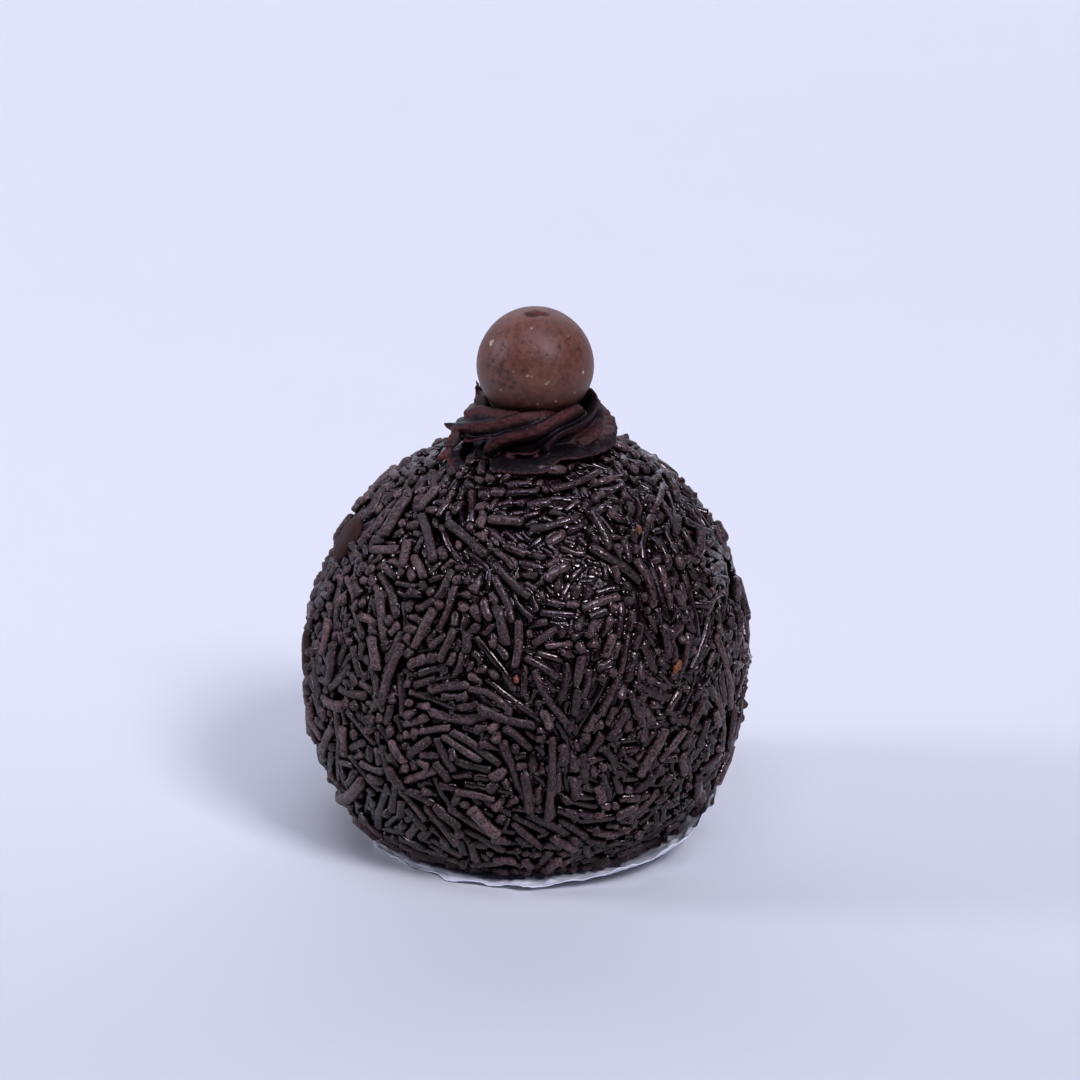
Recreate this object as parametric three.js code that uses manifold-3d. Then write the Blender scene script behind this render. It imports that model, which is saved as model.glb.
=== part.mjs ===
// A large brigadeiro: a soft chocolate fudge ball rolled in chocolate sprinkles,
// crowned with a piped ganache rosette that holds a milk-chocolate malt ball. It
// sits on a thin paper round with a crinkled edge, which curls up on one side.
//
// Millimetres, +Z up. The origin is on the table, under the middle of the ball.
// The front is the -Y side, and azimuths turn from +X towards +Y.
import * as THREE from "three";
import { mergeVertices } from "three/addons/utils/BufferGeometryUtils.js";
import Module from "manifold-3d";

const wasm = await Module();
wasm.setup();

const TAU = 2 * Math.PI;
const GOLDEN_ANGLE = Math.PI * (3 - Math.sqrt(5));
const degrees = THREE.MathUtils.degToRad;

// ---------------------------------------------------------------- dimensions

const clearance = 0.3; // between pieces that touch in the real sweet
const grid = 0.005; // every vertex of a joined solid is rounded to this

const paper = {
  thickness: 0.3,
  radius: 24.4,
  centreX: 2.3, // the ball sits a little to the left on its paper
  flatRadius: 20.6, // the part pressed flat under the ball
  pleats: 23, // crinkles round the edge
  pleatDepth: 0.45,
  scallop: 0.5, // how far the cut edge wanders in and out
  curlAngle: degrees(45), // steepest rise of the edge, at curlAzimuth
  curlAzimuth: degrees(2),
  curlStart: 0.55, // share of that angle where the paper leaves the table
  curlSpread: 3, // the higher, the narrower the curled side
  curlExtra: 2.2, // spare paper on the curled side
  sectors: 64,
  rimRings: 3,
};

const fudge = {
  baseZ: paper.thickness + clearance,
  radius: 29.1, // at the widest level
  widestZ: 24.2,
  crownHeight: 31.0, // from the widest level to the top
  sagDepth: 29.8, // depth of the lower half, had it not been pressed flat
  sagPower: 2.4, // above 2, the lower half bulges like soft fudge
  baseEdge: 16, // sharpness of the edge round the flat base
  lean: 0.03, // sideways drift to +X for each millimetre of height
  lumpHeight: 0.22,
  facets: 6, // cuts of each edge of an icosahedron
};

// Slow waves over a unit ball, for the unevenness of what is rolled by hand.
const lumps = [
  { x: 4.1, y: 2.3, z: 0, phase: 1.0 },
  { x: 0, y: 3.7, z: -4.4, phase: 2.0 },
  { x: 3.1, y: 0, z: 5.2, phase: -0.7 },
];

const sprinkle = {
  radius: 0.72,
  shortest: 4.2,
  longest: 10.5,
  rarity: 1.6, // above 1, long ones are rarer than short ones
  sides: 6,
  bluntEnd: 0.3, // length of the end's taper, in radii
  lift: 0.28, // height of its axis above the bare fudge
  spots: 196, // tried all over the ball, base and crown included
  headings: 8, // tried at each spot, until one clears the sprinkles round it
  wander: 0.3, // of the spacing between spots
  tilt: degrees(5),
  spacing: 1.5, // least distance between the axes of two sprinkles
  beads: 9, // points along an axis, for measuring that distance
  lowestZ: 3.0, // of either end, to stay clear of the paper
  seed: 11,
};

// Flat chocolate buttons stuck among the sprinkles of the left flank.
const button = {
  radius: 3.3,
  thickness: 1.7,
  sides: 14,
  lift: 0.95,
  places: [
    { azimuth: degrees(164), elevation: degrees(35) },
    { azimuth: degrees(172), elevation: degrees(-1) },
  ],
};

const rosette = {
  centreX: 0.9,
  ropeRing: 5.9, // from the rosette's axis to the middle of the piped rope
  ropeZ: 56.3,
  coreRadius: 2.3, // of the rope, at the bottom of its grooves
  coreSectors: 22,
  coreSteps: 6,
  innerEdge: degrees(150), // where the core meets the dish under the malt ball
  ridgeRoot: 1.2, // how deep a ridge is rooted in the core
  ridgeLean: degrees(14),
  ridgeFoot: 0.25, // share of a ridge's length that the flare takes
  ridgeEnds: 0.3, // share of its size that is left at both ends
  ridgeSteps: 10,
  ridgeSides: 7,
  clearRadius: 12.6, // no sprinkle comes nearer to the rosette's axis
};

// The ridges that the star nozzle leaves, each climbing over the rope from its
// foot to its inner side, from azimuth start over sweep. On the rope's section
// from and to are angles, where 0 faces out and 90 up. Reach is measured from the
// rope's middle, and flare adds to it at the foot. With haste below 1, a ridge
// climbs early. Angles are in degrees.
const ridges = [
  { start: 160, sweep: 60, from: 16, to: 88, haste: 1, halfWidth: 1.05, reach: 3.4, flare: 0 },
  { start: 190, sweep: 95, from: 2, to: 97, haste: 1, halfWidth: 0.85, reach: 4.0, flare: 3.1 },
  { start: 227, sweep: 116, from: -38, to: 98, haste: 0.7, halfWidth: 1.2, reach: 4.2, flare: 2.4 },
  { start: 278, sweep: 135, from: -36, to: 85, haste: 0.6, halfWidth: 0.8, reach: 4.3, flare: 0.3 },
  { start: 312, sweep: 130, from: -35, to: 88, haste: 0.75, halfWidth: 0.9, reach: 4.2, flare: 0.4 },
  { start: 350, sweep: 125, from: -40, to: 90, haste: 0.75, halfWidth: 1.0, reach: 4.1, flare: 0.5 },
  { start: 32, sweep: 125, from: -42, to: 90, haste: 0.75, halfWidth: 0.9, reach: 4.2, flare: 0.8 },
  { start: 74, sweep: 120, from: -40, to: 90, haste: 0.75, halfWidth: 1.1, reach: 4.1, flare: 0.6 },
  { start: 116, sweep: 105, from: -38, to: 94, haste: 0.7, halfWidth: 0.9, reach: 4.0, flare: 0.5 },
];

// Thin petals of ganache spread out on the ball round the foot of the rope.
const petal = {
  section: -30,
  halfWidth: 0.8,
  ends: 0.35, // share of the size left at both ends, and of the length to reach it
  places: [
    { start: 236, sweep: 56, reach: 6.9 },
    { start: 288, sweep: 92, reach: 5.3 },
    { start: 14, sweep: 80, reach: 5.7 },
    { start: 88, sweep: 84, reach: 5.5 },
  ],
};

// A torn scrap of ganache hangs down the ball from the rope's loose end.
const scrap = {
  azimuth: degrees(211),
  width: 3.2,
  taper: 0.3, // share of the width lost towards its lower end
  length: 5.6,
  thickness: 0.8,
  innerRadius: 8.4, // of its upper edge from the rosette's axis
  rise: 1.1, // height of its upper edge above the fudge
  notch: 0.5,
  steps: 6,
  clearRadius: 3.4, // no sprinkle comes nearer to its middle line
  seed: 5,
};

const maltBall = {
  radius: 7.8,
  centre: new THREE.Vector3(1.15, 0, 64.3),
  dimpleDepth: 0.3,
  dimpleRadius: 1.5,
  dimpleTilt: degrees(14), // towards the front, from the top
  lumpHeight: 0.06,
  facets: 4,
};

// ------------------------------------------------------------------- helpers

// Repeatable random numbers from 0 to 1.
function randomFrom(seed) {
  let state = seed >>> 0;
  return () => {
    state = (state + 0x6d2b79f5) >>> 0;
    let mixed = Math.imul(state ^ (state >>> 15), 1 | state);
    mixed = (mixed + Math.imul(mixed ^ (mixed >>> 7), 61 | mixed)) ^ mixed;
    return ((mixed ^ (mixed >>> 14)) >>> 0) / 2 ** 32;
  };
}

function solidFrom(geometry) {
  const bare = new THREE.BufferGeometry();
  bare.setAttribute("position", geometry.getAttribute("position"));
  bare.setIndex(geometry.index);
  const merged = mergeVertices(bare, 1e-4);
  return new wasm.Manifold(
    new wasm.Mesh({
      numProp: 3,
      vertProperties: merged.attributes.position.array,
      triVerts: new Uint32Array(merged.index.array),
    }),
  );
}

// Vertices that a join leaves on one point of the grid become one, and the
// triangles that this flattens are dropped.
function geometryFrom(solid) {
  const { vertProperties, triVerts } = solid.getMesh();
  const rounded = Float32Array.from(vertProperties, (value) => Math.round(value / grid) * grid);
  const whole = new THREE.BufferGeometry();
  whole.setAttribute("position", new THREE.BufferAttribute(rounded, 3));
  whole.setIndex(new THREE.BufferAttribute(triVerts, 1));
  const welded = mergeVertices(whole, grid / 4);
  const kept = [];
  for (let i = 0; i < welded.index.count; i += 3) {
    const corners = [0, 1, 2].map((corner) => welded.index.getX(i + corner));
    if (new Set(corners).size === 3) kept.push(...corners);
  }
  welded.setIndex(kept);
  const flat = welded.toNonIndexed();
  flat.computeVertexNormals();
  return flat;
}

const joined = (solids) => solids.reduce((whole, piece) => whole.add(piece));

// Moves a solid made round the Y axis so that it stands at a place along an axis.
function standing(solid, at, axis) {
  const turn = new THREE.Quaternion().setFromUnitVectors(new THREE.Vector3(0, 1, 0), axis);
  return solid.transform(new THREE.Matrix4().compose(at, turn, new THREE.Vector3(1, 1, 1)).elements);
}

// A closed solid through rings of equally many points. Each ring runs
// counter-clockwise as seen from the last ring, looking back at the first.
function loft(rings) {
  const sides = rings[0].length;
  const points = rings.flat();
  const index = [];
  const at = (ring, side) => ring * sides + (side % sides);
  for (let ring = 0; ring < rings.length - 1; ring++) {
    for (let side = 0; side < sides; side++) {
      index.push(at(ring, side), at(ring, side + 1), at(ring + 1, side + 1));
      index.push(at(ring, side), at(ring + 1, side + 1), at(ring + 1, side));
    }
  }
  const middle = (ring) =>
    ring.reduce((sum, p) => sum.add(p), new THREE.Vector3()).divideScalar(sides);
  const first = points.push(middle(rings[0])) - 1;
  const last = points.push(middle(rings.at(-1))) - 1;
  for (let side = 0; side < sides; side++) {
    index.push(first, at(0, side + 1), at(0, side));
    index.push(last, at(rings.length - 1, side), at(rings.length - 1, side + 1));
  }
  return new THREE.BufferGeometry().setFromPoints(points).setIndex(index);
}

function named(name, geometry, color, roughness) {
  const material = new THREE.MeshStandardMaterial({ color, roughness, metalness: 0 });
  const mesh = new THREE.Mesh(geometry, material);
  mesh.name = name;
  return mesh;
}

// ----------------------------------------------------------------- the fudge

// Unevenness in a direction, from -1 to 1.
function lump(direction) {
  const wave = ({ x, y, z, phase }) =>
    Math.sin(x * direction.x + y * direction.y + z * direction.z + phase);
  return lumps.reduce((sum, each) => sum + wave(each), 0) / lumps.length;
}

// Distance from the middle of the widest level to the bare fudge's surface.
function fudgeReach(direction) {
  const across = Math.hypot(direction.x, direction.y);
  const up = direction.z;
  if (up >= 0) return 1 / Math.hypot(across / fudge.radius, up / fudge.crownHeight);
  const power = fudge.sagPower;
  const bulge = (across / fudge.radius) ** power + (-up / fudge.sagDepth) ** power;
  const side = bulge ** (1 / power);
  const base = -up / (fudge.widestZ - fudge.baseZ);
  return 1 / (side ** fudge.baseEdge + base ** fudge.baseEdge) ** (1 / fudge.baseEdge);
}

// The point of the fudge's surface in a direction, moved outwards by grow.
function fudgePoint(direction, grow = 0) {
  const evenness = direction.z > 0 ? 1 : Math.max(0, 1 + direction.z);
  const reach = fudgeReach(direction) + fudge.lumpHeight * evenness * lump(direction);
  const point = direction.clone().multiplyScalar(reach + grow);
  point.x += fudge.lean * point.z;
  point.z += fudge.widestZ;
  return point;
}

function fudgeSolid(grow = 0) {
  const ball = new THREE.IcosahedronGeometry(1, fudge.facets);
  const place = ball.getAttribute("position");
  for (let i = 0; i < place.count; i++) {
    const direction = new THREE.Vector3().fromBufferAttribute(place, i).normalize();
    const point = fudgePoint(direction, grow);
    place.setXYZ(i, point.x, point.y, point.z);
  }
  return solidFrom(ball);
}

// A place on the fudge's surface, its outward normal and a tangent.
function fudgeFrame(direction) {
  const nudge = 0.01;
  const side = new THREE.Vector3(-direction.y, direction.x, 0).normalize();
  const rise = new THREE.Vector3().crossVectors(direction, side);
  const at = fudgePoint(direction);
  const step = (way) =>
    fudgePoint(direction.clone().addScaledVector(way, nudge).normalize()).sub(at).normalize();
  const tangent = step(side);
  const normal = new THREE.Vector3().crossVectors(tangent, step(rise)).normalize();
  return { at, normal, tangent };
}

// ------------------------------------------------------------- the sprinkles

function sprinkleSolid(length) {
  const r = sprinkle.radius;
  const half = length / 2;
  const profile = [
    new THREE.Vector2(0, -half),
    new THREE.Vector2(r, -half + sprinkle.bluntEnd * r),
    new THREE.Vector2(r, half - sprinkle.bluntEnd * r),
    new THREE.Vector2(0, half),
  ];
  return solidFrom(new THREE.LatheGeometry(profile, sprinkle.sides));
}

// Whether a point of a sprinkle is clear of the paper, the rosette and its scrap.
function isClear(point) {
  if (point.z < sprinkle.lowestZ) return false;
  if (point.z < fudge.widestZ) return true;
  const fromRosette = Math.hypot(point.x - rosette.centreX, point.y);
  const fromScrap = [0.5, 0.75, 1].map((share) => scrapPlace(share).at.distanceTo(point));
  return fromRosette > rosette.clearRadius && Math.min(...fromScrap) > scrap.clearRadius;
}

// Points along a sprinkle's axis.
function beadsOf(at, axis, length) {
  const last = sprinkle.beads - 1;
  const place = (_, i) => at.clone().addScaledVector(axis, length * (i / last - 0.5));
  return Array.from({ length: sprinkle.beads }, place);
}

function areApart(beads, others) {
  return beads.every((bead) => others.every((other) => bead.distanceTo(other) > sprinkle.spacing));
}

// Sprinkles lie on the fudge at the spots of a golden spiral, each a little off
// its spot and turned until it clears the ones before it.
function sprinkleSolids() {
  const random = randomFrom(sprinkle.seed);
  const jitter = () => Math.sqrt((2 * TAU) / sprinkle.spots) * sprinkle.wander * (random() - 0.5);
  const placed = [];
  const taken = [];
  for (let i = 0; i < sprinkle.spots; i++) {
    const up = 1 - (2 * i + 1) / sprinkle.spots;
    const across = Math.sqrt(1 - up * up);
    const azimuth = i * GOLDEN_ANGLE;
    const direction = new THREE.Vector3(
      across * Math.cos(azimuth) + jitter(),
      across * Math.sin(azimuth) + jitter(),
      up + jitter(),
    ).normalize();
    const extra = (sprinkle.longest - sprinkle.shortest) * random() ** sprinkle.rarity;
    const length = sprinkle.shortest + extra;
    const { at, normal, tangent } = fudgeFrame(direction);
    at.addScaledVector(normal, sprinkle.lift);
    for (let trial = 0; trial < sprinkle.headings; trial++) {
      const axis = tangent.clone().applyAxisAngle(normal, TAU * random());
      const tilt = sprinkle.tilt * (2 * random() - 1);
      axis.applyAxisAngle(normal.clone().cross(axis).normalize(), tilt);
      const beads = beadsOf(at, axis, length);
      if (!beads.every(isClear) || !areApart(beads, taken)) continue;
      taken.push(...beads);
      placed.push(standing(sprinkleSolid(length), at, axis));
      break;
    }
  }
  return placed;
}

function buttonSolid({ azimuth, elevation }) {
  const across = Math.cos(elevation);
  const direction = new THREE.Vector3(
    across * Math.cos(azimuth),
    across * Math.sin(azimuth),
    Math.sin(elevation),
  );
  const { at, normal } = fudgeFrame(direction);
  const half = button.thickness / 2;
  at.addScaledVector(normal, button.lift - half);
  const profile = [
    new THREE.Vector2(0, -half),
    new THREE.Vector2(0.9 * button.radius, -half),
    new THREE.Vector2(button.radius, 0),
    new THREE.Vector2(0.82 * button.radius, 0.75 * half),
    new THREE.Vector2(0.4 * button.radius, half),
    new THREE.Vector2(0, 1.1 * half),
  ];
  return standing(solidFrom(new THREE.LatheGeometry(profile, button.sides)), at, normal);
}

function brigadeiroBall() {
  const pieces = [fudgeSolid(), ...sprinkleSolids(), ...button.places.map(buttonSolid)];
  return joined(pieces);
}

// --------------------------------------------------------------- the rosette

// The middle of the rope at an azimuth, and the way out of it at a section angle.
function ropeFrame(azimuth, section) {
  const out = new THREE.Vector3(Math.cos(azimuth), Math.sin(azimuth), 0);
  const normal = out.clone().multiplyScalar(Math.cos(section));
  normal.z = Math.sin(section);
  const middle = out.multiplyScalar(rosette.ropeRing);
  middle.x += rosette.centreX;
  middle.z = rosette.ropeZ;
  return { middle, normal };
}

// A ridge: a blade rooted in the core, along a path that gives the azimuth,
// section angle, reach and half width at each share of its length.
function ridgeSolid(path, lean) {
  const nudge = 0.02;
  const crest = (share) => {
    const { azimuth, section, reach } = path(THREE.MathUtils.clamp(share, 0, 1));
    const { middle, normal } = ropeFrame(azimuth, section);
    return middle.addScaledVector(normal, reach);
  };
  const rings = [];
  for (let step = 0; step <= rosette.ridgeSteps; step++) {
    const share = step / rosette.ridgeSteps;
    const { azimuth, section, reach, halfWidth } = path(share);
    const { middle, normal } = ropeFrame(azimuth, section);
    const along = crest(share + nudge).sub(crest(share - nudge)).normalize();
    const across = along.clone().cross(normal).normalize().applyAxisAngle(along, lean);
    const outward = across.clone().cross(along).normalize();
    const root = rosette.coreRadius - rosette.ridgeRoot;
    const heart = middle.addScaledVector(normal, (reach + root) / 2);
    const halfHeight = (reach - root) / 2;
    const ring = [];
    for (let side = 0; side < rosette.ridgeSides; side++) {
      const angle = (TAU * side) / rosette.ridgeSides;
      const point = heart.clone().addScaledVector(outward, halfHeight * Math.cos(angle));
      ring.push(point.addScaledVector(across, halfWidth * Math.sin(angle)));
    }
    rings.push(ring);
  }
  return solidFrom(loft(rings));
}

// A rounded rise from 0 at both ends to 1, over the given shares of the length.
function fade(share, rise, fall) {
  const round = (part) => Math.sqrt(1 - (1 - Math.min(1, part)) ** 2);
  return round(share / rise) * round((1 - share) / fall);
}

function climbingRidge({ start, sweep, from, to, haste, halfWidth, reach, flare }) {
  return ridgeSolid((share) => {
    const foot = Math.max(0, 1 - share / rosette.ridgeFoot) ** 2;
    const size = THREE.MathUtils.lerp(rosette.ridgeEnds, 1, fade(share, 0.15, 0.12));
    const root = rosette.coreRadius;
    return {
      azimuth: degrees(start + sweep * share),
      section: degrees(from + (to - from) * share ** haste),
      reach: root + (reach - root) * size + flare * foot,
      halfWidth: halfWidth * size,
    };
  }, rosette.ridgeLean);
}

function petalSolid({ start, sweep, reach }) {
  return ridgeSolid((share) => {
    const size = THREE.MathUtils.lerp(petal.ends, 1, fade(share, petal.ends, petal.ends));
    const root = rosette.coreRadius;
    return {
      azimuth: degrees(start + sweep * share),
      section: degrees(petal.section),
      reach: root + (reach - root) * size,
      halfWidth: petal.halfWidth * Math.sqrt(size),
    };
  }, 0);
}

// The middle of the rosette: the rope's core, and a low dish inside its ring.
function rosetteHeart() {
  const { ropeRing, ropeZ, coreRadius, coreSteps } = rosette;
  const floorZ = ropeZ - 2 * coreRadius;
  const profile = [new THREE.Vector2(0, floorZ), new THREE.Vector2(ropeRing + coreRadius, floorZ)];
  for (let step = 0; step <= coreSteps; step++) {
    const section = (rosette.innerEdge * step) / coreSteps;
    const x = ropeRing + coreRadius * Math.cos(section);
    profile.push(new THREE.Vector2(x, ropeZ + coreRadius * Math.sin(section)));
  }
  profile.push(new THREE.Vector2(0, ropeZ));
  const dish = new THREE.LatheGeometry(profile, rosette.coreSectors);
  dish.rotateX(Math.PI / 2);
  dish.translate(rosette.centreX, 0, 0);
  return solidFrom(dish);
}

// The scrap's middle line: a place on the fudge at a share of its length.
function scrapPlace(share) {
  const radius = scrap.innerRadius + scrap.length * share;
  const x = rosette.centreX + radius * Math.cos(scrap.azimuth);
  const y = radius * Math.sin(scrap.azimuth);
  const flat = Math.hypot(x, y) / fudge.radius;
  const z = fudge.crownHeight * Math.sqrt(1 - flat * flat);
  return fudgeFrame(new THREE.Vector3(x, y, z).normalize());
}

// A ragged strip that leaves the rope and lies down on the ball's shoulder.
function scrapSolid() {
  const random = randomFrom(scrap.seed);
  const aside = new THREE.Vector3(-Math.sin(scrap.azimuth), Math.cos(scrap.azimuth), 0);
  const half = scrap.thickness / 2;
  const rings = [];
  for (let step = 0; step <= scrap.steps; step++) {
    const share = step / scrap.steps;
    const { at, normal } = scrapPlace(share);
    at.addScaledVector(normal, clearance + half + scrap.rise * (1 - share) ** 2);
    const reach = (scrap.width / 2) * (1 - scrap.taper * share);
    const left = reach + scrap.notch * (random() - 0.5);
    const right = reach + scrap.notch * (random() - 0.5);
    const corner = (side, level) =>
      at.clone().addScaledVector(aside, side).addScaledVector(normal, level);
    rings.push([
      corner(-left, -half),
      corner(right, -half),
      corner(0.8 * right, half),
      corner(-0.8 * left, half),
    ]);
  }
  return solidFrom(loft(rings));
}

function ganacheRosette() {
  const blades = [...ridges.map(climbingRidge), ...petal.places.map(petalSolid)];
  const whole = joined([rosetteHeart(), ...blades, scrapSolid()]);
  return whole.subtract(fudgeSolid(clearance)).subtract(maltBallSolid(clearance));
}

// ------------------------------------------------------------- the malt ball

function maltBallSolid(grow = 0) {
  const ball = new THREE.IcosahedronGeometry(1, maltBall.facets);
  const tilt = maltBall.dimpleTilt;
  const dimple = new THREE.Vector3(0, -Math.sin(tilt), Math.cos(tilt));
  const place = ball.getAttribute("position");
  for (let i = 0; i < place.count; i++) {
    const direction = new THREE.Vector3().fromBufferAttribute(place, i).normalize();
    const fromDimple = (direction.angleTo(dimple) * maltBall.radius) / maltBall.dimpleRadius;
    const dent = maltBall.dimpleDepth * Math.exp(-fromDimple * fromDimple);
    const reach = maltBall.radius + grow - dent + maltBall.lumpHeight * lump(direction);
    const point = direction.multiplyScalar(reach).add(maltBall.centre);
    place.setXYZ(i, point.x, point.y, point.z);
  }
  return solidFrom(ball);
}

// ----------------------------------------------------------------- the paper

// The paper's cut edge, measured flat from the ball's axis.
function paperEdge(azimuth) {
  const shifted = paper.centreX * Math.cos(azimuth);
  const circle = shifted + Math.sqrt(paper.radius ** 2 - (paper.centreX * Math.sin(azimuth)) ** 2);
  const wander = Math.sin(5 * azimuth + 0.6) + 0.8 * Math.sin(11 * azimuth + 2.1);
  return circle + paper.curlExtra * curl(azimuth) + (paper.scallop / 1.8) * wander;
}

// 1 where the edge curls up most, falling to 0 round the other sides.
function curl(azimuth) {
  const nearness = (1 + Math.cos(azimuth - paper.curlAzimuth)) / 2;
  return nearness ** paper.curlSpread;
}

// A point of the paper's underside, from 0 at the flat part's edge to 1 at the cut.
function paperPoint(azimuth, share) {
  const along = share * (paperEdge(azimuth) - paper.flatRadius);
  const rise = paper.curlAngle * curl(azimuth) * THREE.MathUtils.lerp(paper.curlStart, 1, share);
  const pleat = 0.5 + 0.5 * Math.sin(paper.pleats * azimuth + 1.4 * Math.sin(3 * azimuth));
  const crinkle = paper.pleatDepth * pleat * share * share;
  const radius = paper.flatRadius + along * Math.cos(rise);
  const height = along * Math.sin(rise) + crinkle;
  return new THREE.Vector3(radius * Math.cos(azimuth), radius * Math.sin(azimuth), height);
}

// Both faces are split alike: a flat middle, then rings out to the cut edge.
function paperSolid() {
  const rings = [];
  for (let ring = 0; ring <= paper.rimRings; ring++) {
    const share = ring / paper.rimRings;
    const points = [];
    for (let sector = 0; sector < paper.sectors; sector++) {
      points.push(paperPoint((TAU * sector) / paper.sectors, share));
    }
    rings.push(points);
  }
  const raised = rings.map((ring) =>
    ring.map((p) => p.clone().add(new THREE.Vector3(0, 0, paper.thickness))),
  );
  return solidFrom(loft([...rings, ...raised.reverse()]));
}

// ----------------------------------------------------------------- the sweet

const brigadeiro = new THREE.Group();
brigadeiro.add(
  named("paper_round", geometryFrom(paperSolid()), 0xdfe1f2, 0.85),
  named("sprinkled_ball", geometryFrom(brigadeiroBall()), 0x3a2c2b, 0.55),
  named("ganache_rosette", geometryFrom(ganacheRosette()), 0x37201f, 0.5),
  named("malt_ball", geometryFrom(maltBallSolid()), 0x6b443c, 0.45),
);

export default brigadeiro;
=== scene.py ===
"""A large brigadeiro, dressed for a studio picture.

A fudge ball coated in chocolate sprinkles stands on a thin paper round and carries a piped
ganache rosette with a malt ball in it. Sizes are in millimetres, in the frame of the CAD
model: +Z up, the origin on the table under the ball, the front towards -Y. Meshes are made in
metres. Azimuths turn from +X towards +Y.
"""

from __future__ import annotations

import logging
import math
from dataclasses import dataclass
from enum import Enum
from itertools import product
from typing import Callable, Optional, Sequence, Union

import bmesh
import bpy
import numpy as np
from mathutils import Matrix, Vector


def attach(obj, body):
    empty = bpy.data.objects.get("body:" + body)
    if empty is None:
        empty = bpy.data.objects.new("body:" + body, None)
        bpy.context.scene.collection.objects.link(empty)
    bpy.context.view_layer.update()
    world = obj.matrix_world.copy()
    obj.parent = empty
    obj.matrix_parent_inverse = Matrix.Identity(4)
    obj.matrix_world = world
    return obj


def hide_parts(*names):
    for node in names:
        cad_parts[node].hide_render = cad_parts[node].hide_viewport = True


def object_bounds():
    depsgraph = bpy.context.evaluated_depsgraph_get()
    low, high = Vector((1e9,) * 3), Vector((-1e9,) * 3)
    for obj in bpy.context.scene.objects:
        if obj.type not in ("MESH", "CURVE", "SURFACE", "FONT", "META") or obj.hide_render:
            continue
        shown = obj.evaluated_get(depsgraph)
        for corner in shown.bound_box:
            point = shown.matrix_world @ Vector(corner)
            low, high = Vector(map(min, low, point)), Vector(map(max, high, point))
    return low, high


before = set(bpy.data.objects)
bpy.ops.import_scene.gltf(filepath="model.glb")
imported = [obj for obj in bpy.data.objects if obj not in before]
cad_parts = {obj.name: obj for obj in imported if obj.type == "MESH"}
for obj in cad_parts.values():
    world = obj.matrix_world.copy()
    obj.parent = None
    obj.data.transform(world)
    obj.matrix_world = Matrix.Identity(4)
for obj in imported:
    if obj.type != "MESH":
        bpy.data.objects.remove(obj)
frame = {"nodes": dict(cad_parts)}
CAD_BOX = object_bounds()

log = logging.getLogger("brigadeiro")

Array = np.ndarray
Pair = tuple[float, float]
Triple = tuple[float, float, float]
BMesh = bmesh.types.BMesh
Mesh = bpy.types.Mesh
Piece = bpy.types.Object
Socket = bpy.types.NodeSocket
MM = 0.001
TAU = 2 * math.pi
GOLDEN_ANGLE = math.pi * (3 - math.sqrt(5))
BODY = "root"


# ---- numbers


def lerp(low: float, high: float, share: Union[float, Array]) -> Union[float, Array]:
    """Returns the value at a share of the way from low to high."""
    return low + (high - low) * share


def smooth(low: float, high: float, value: Array) -> Array:
    """Returns a soft step from 0 at low to 1 at high."""
    share = np.clip((value - low) / (high - low), 0, 1)
    return share * share * (3 - 2 * share)


def unit(vectors: Array) -> Array:
    """Returns the vectors at length 1."""
    return vectors / np.maximum(np.linalg.norm(vectors, axis=-1, keepdims=True), 1e-9)


def direction(azimuth: float, elevation: float) -> Array:
    """Returns the direction of two angles in degrees, as one row."""
    turn, rise = math.radians(azimuth), math.radians(elevation)
    return np.array([[math.cos(rise) * math.cos(turn), math.cos(rise) * math.sin(turn), math.sin(rise)]])


def rounded_fade(share: Array, rise: float, fall: float) -> Array:
    """Returns a round rise from 0 at both ends to 1, over the shares rise and fall of the length."""
    start, end = 1 - np.clip(share / rise, 0, 1), 1 - np.clip((1 - share) / fall, 0, 1)
    return np.sqrt(1 - start**2) * np.sqrt(1 - end**2)


@dataclass(frozen=True)
class Noise:
    """Smooth random unevenness in space, from about -1 to 1.

    Attributes:
        size: Distance in mm over which it changes.
        seed: Picks one of many like patterns.
    """

    size: float
    seed: int

    def __call__(self, points: Array) -> Array:
        """Returns the unevenness at each point."""
        table = np.random.default_rng(self.seed).uniform(-1, 1, 4096)
        scaled = points / self.size
        cell = np.floor(scaled).astype(np.int64)
        part = scaled - cell
        part = part * part * (3 - 2 * part)
        total = np.zeros(len(points))
        for corner in product((0, 1), repeat=3):
            spot = cell + np.array(corner)
            key = (spot[:, 0] * 73856093) ^ (spot[:, 1] * 19349663) ^ (spot[:, 2] * 83492791)
            weight = np.prod(np.where(corner, part, 1 - part), axis=1)
            total += weight * table[key & 4095]
        return total

    def layered(self, points: Array, layers: int) -> Array:
        """Returns the sum of layers of noise, each half as large and half as strong."""
        total = np.zeros(len(points))
        for layer in range(layers):
            share = 0.5**layer
            total += share * Noise(self.size * share, self.seed + 31 * layer)(points)
        return total


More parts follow.
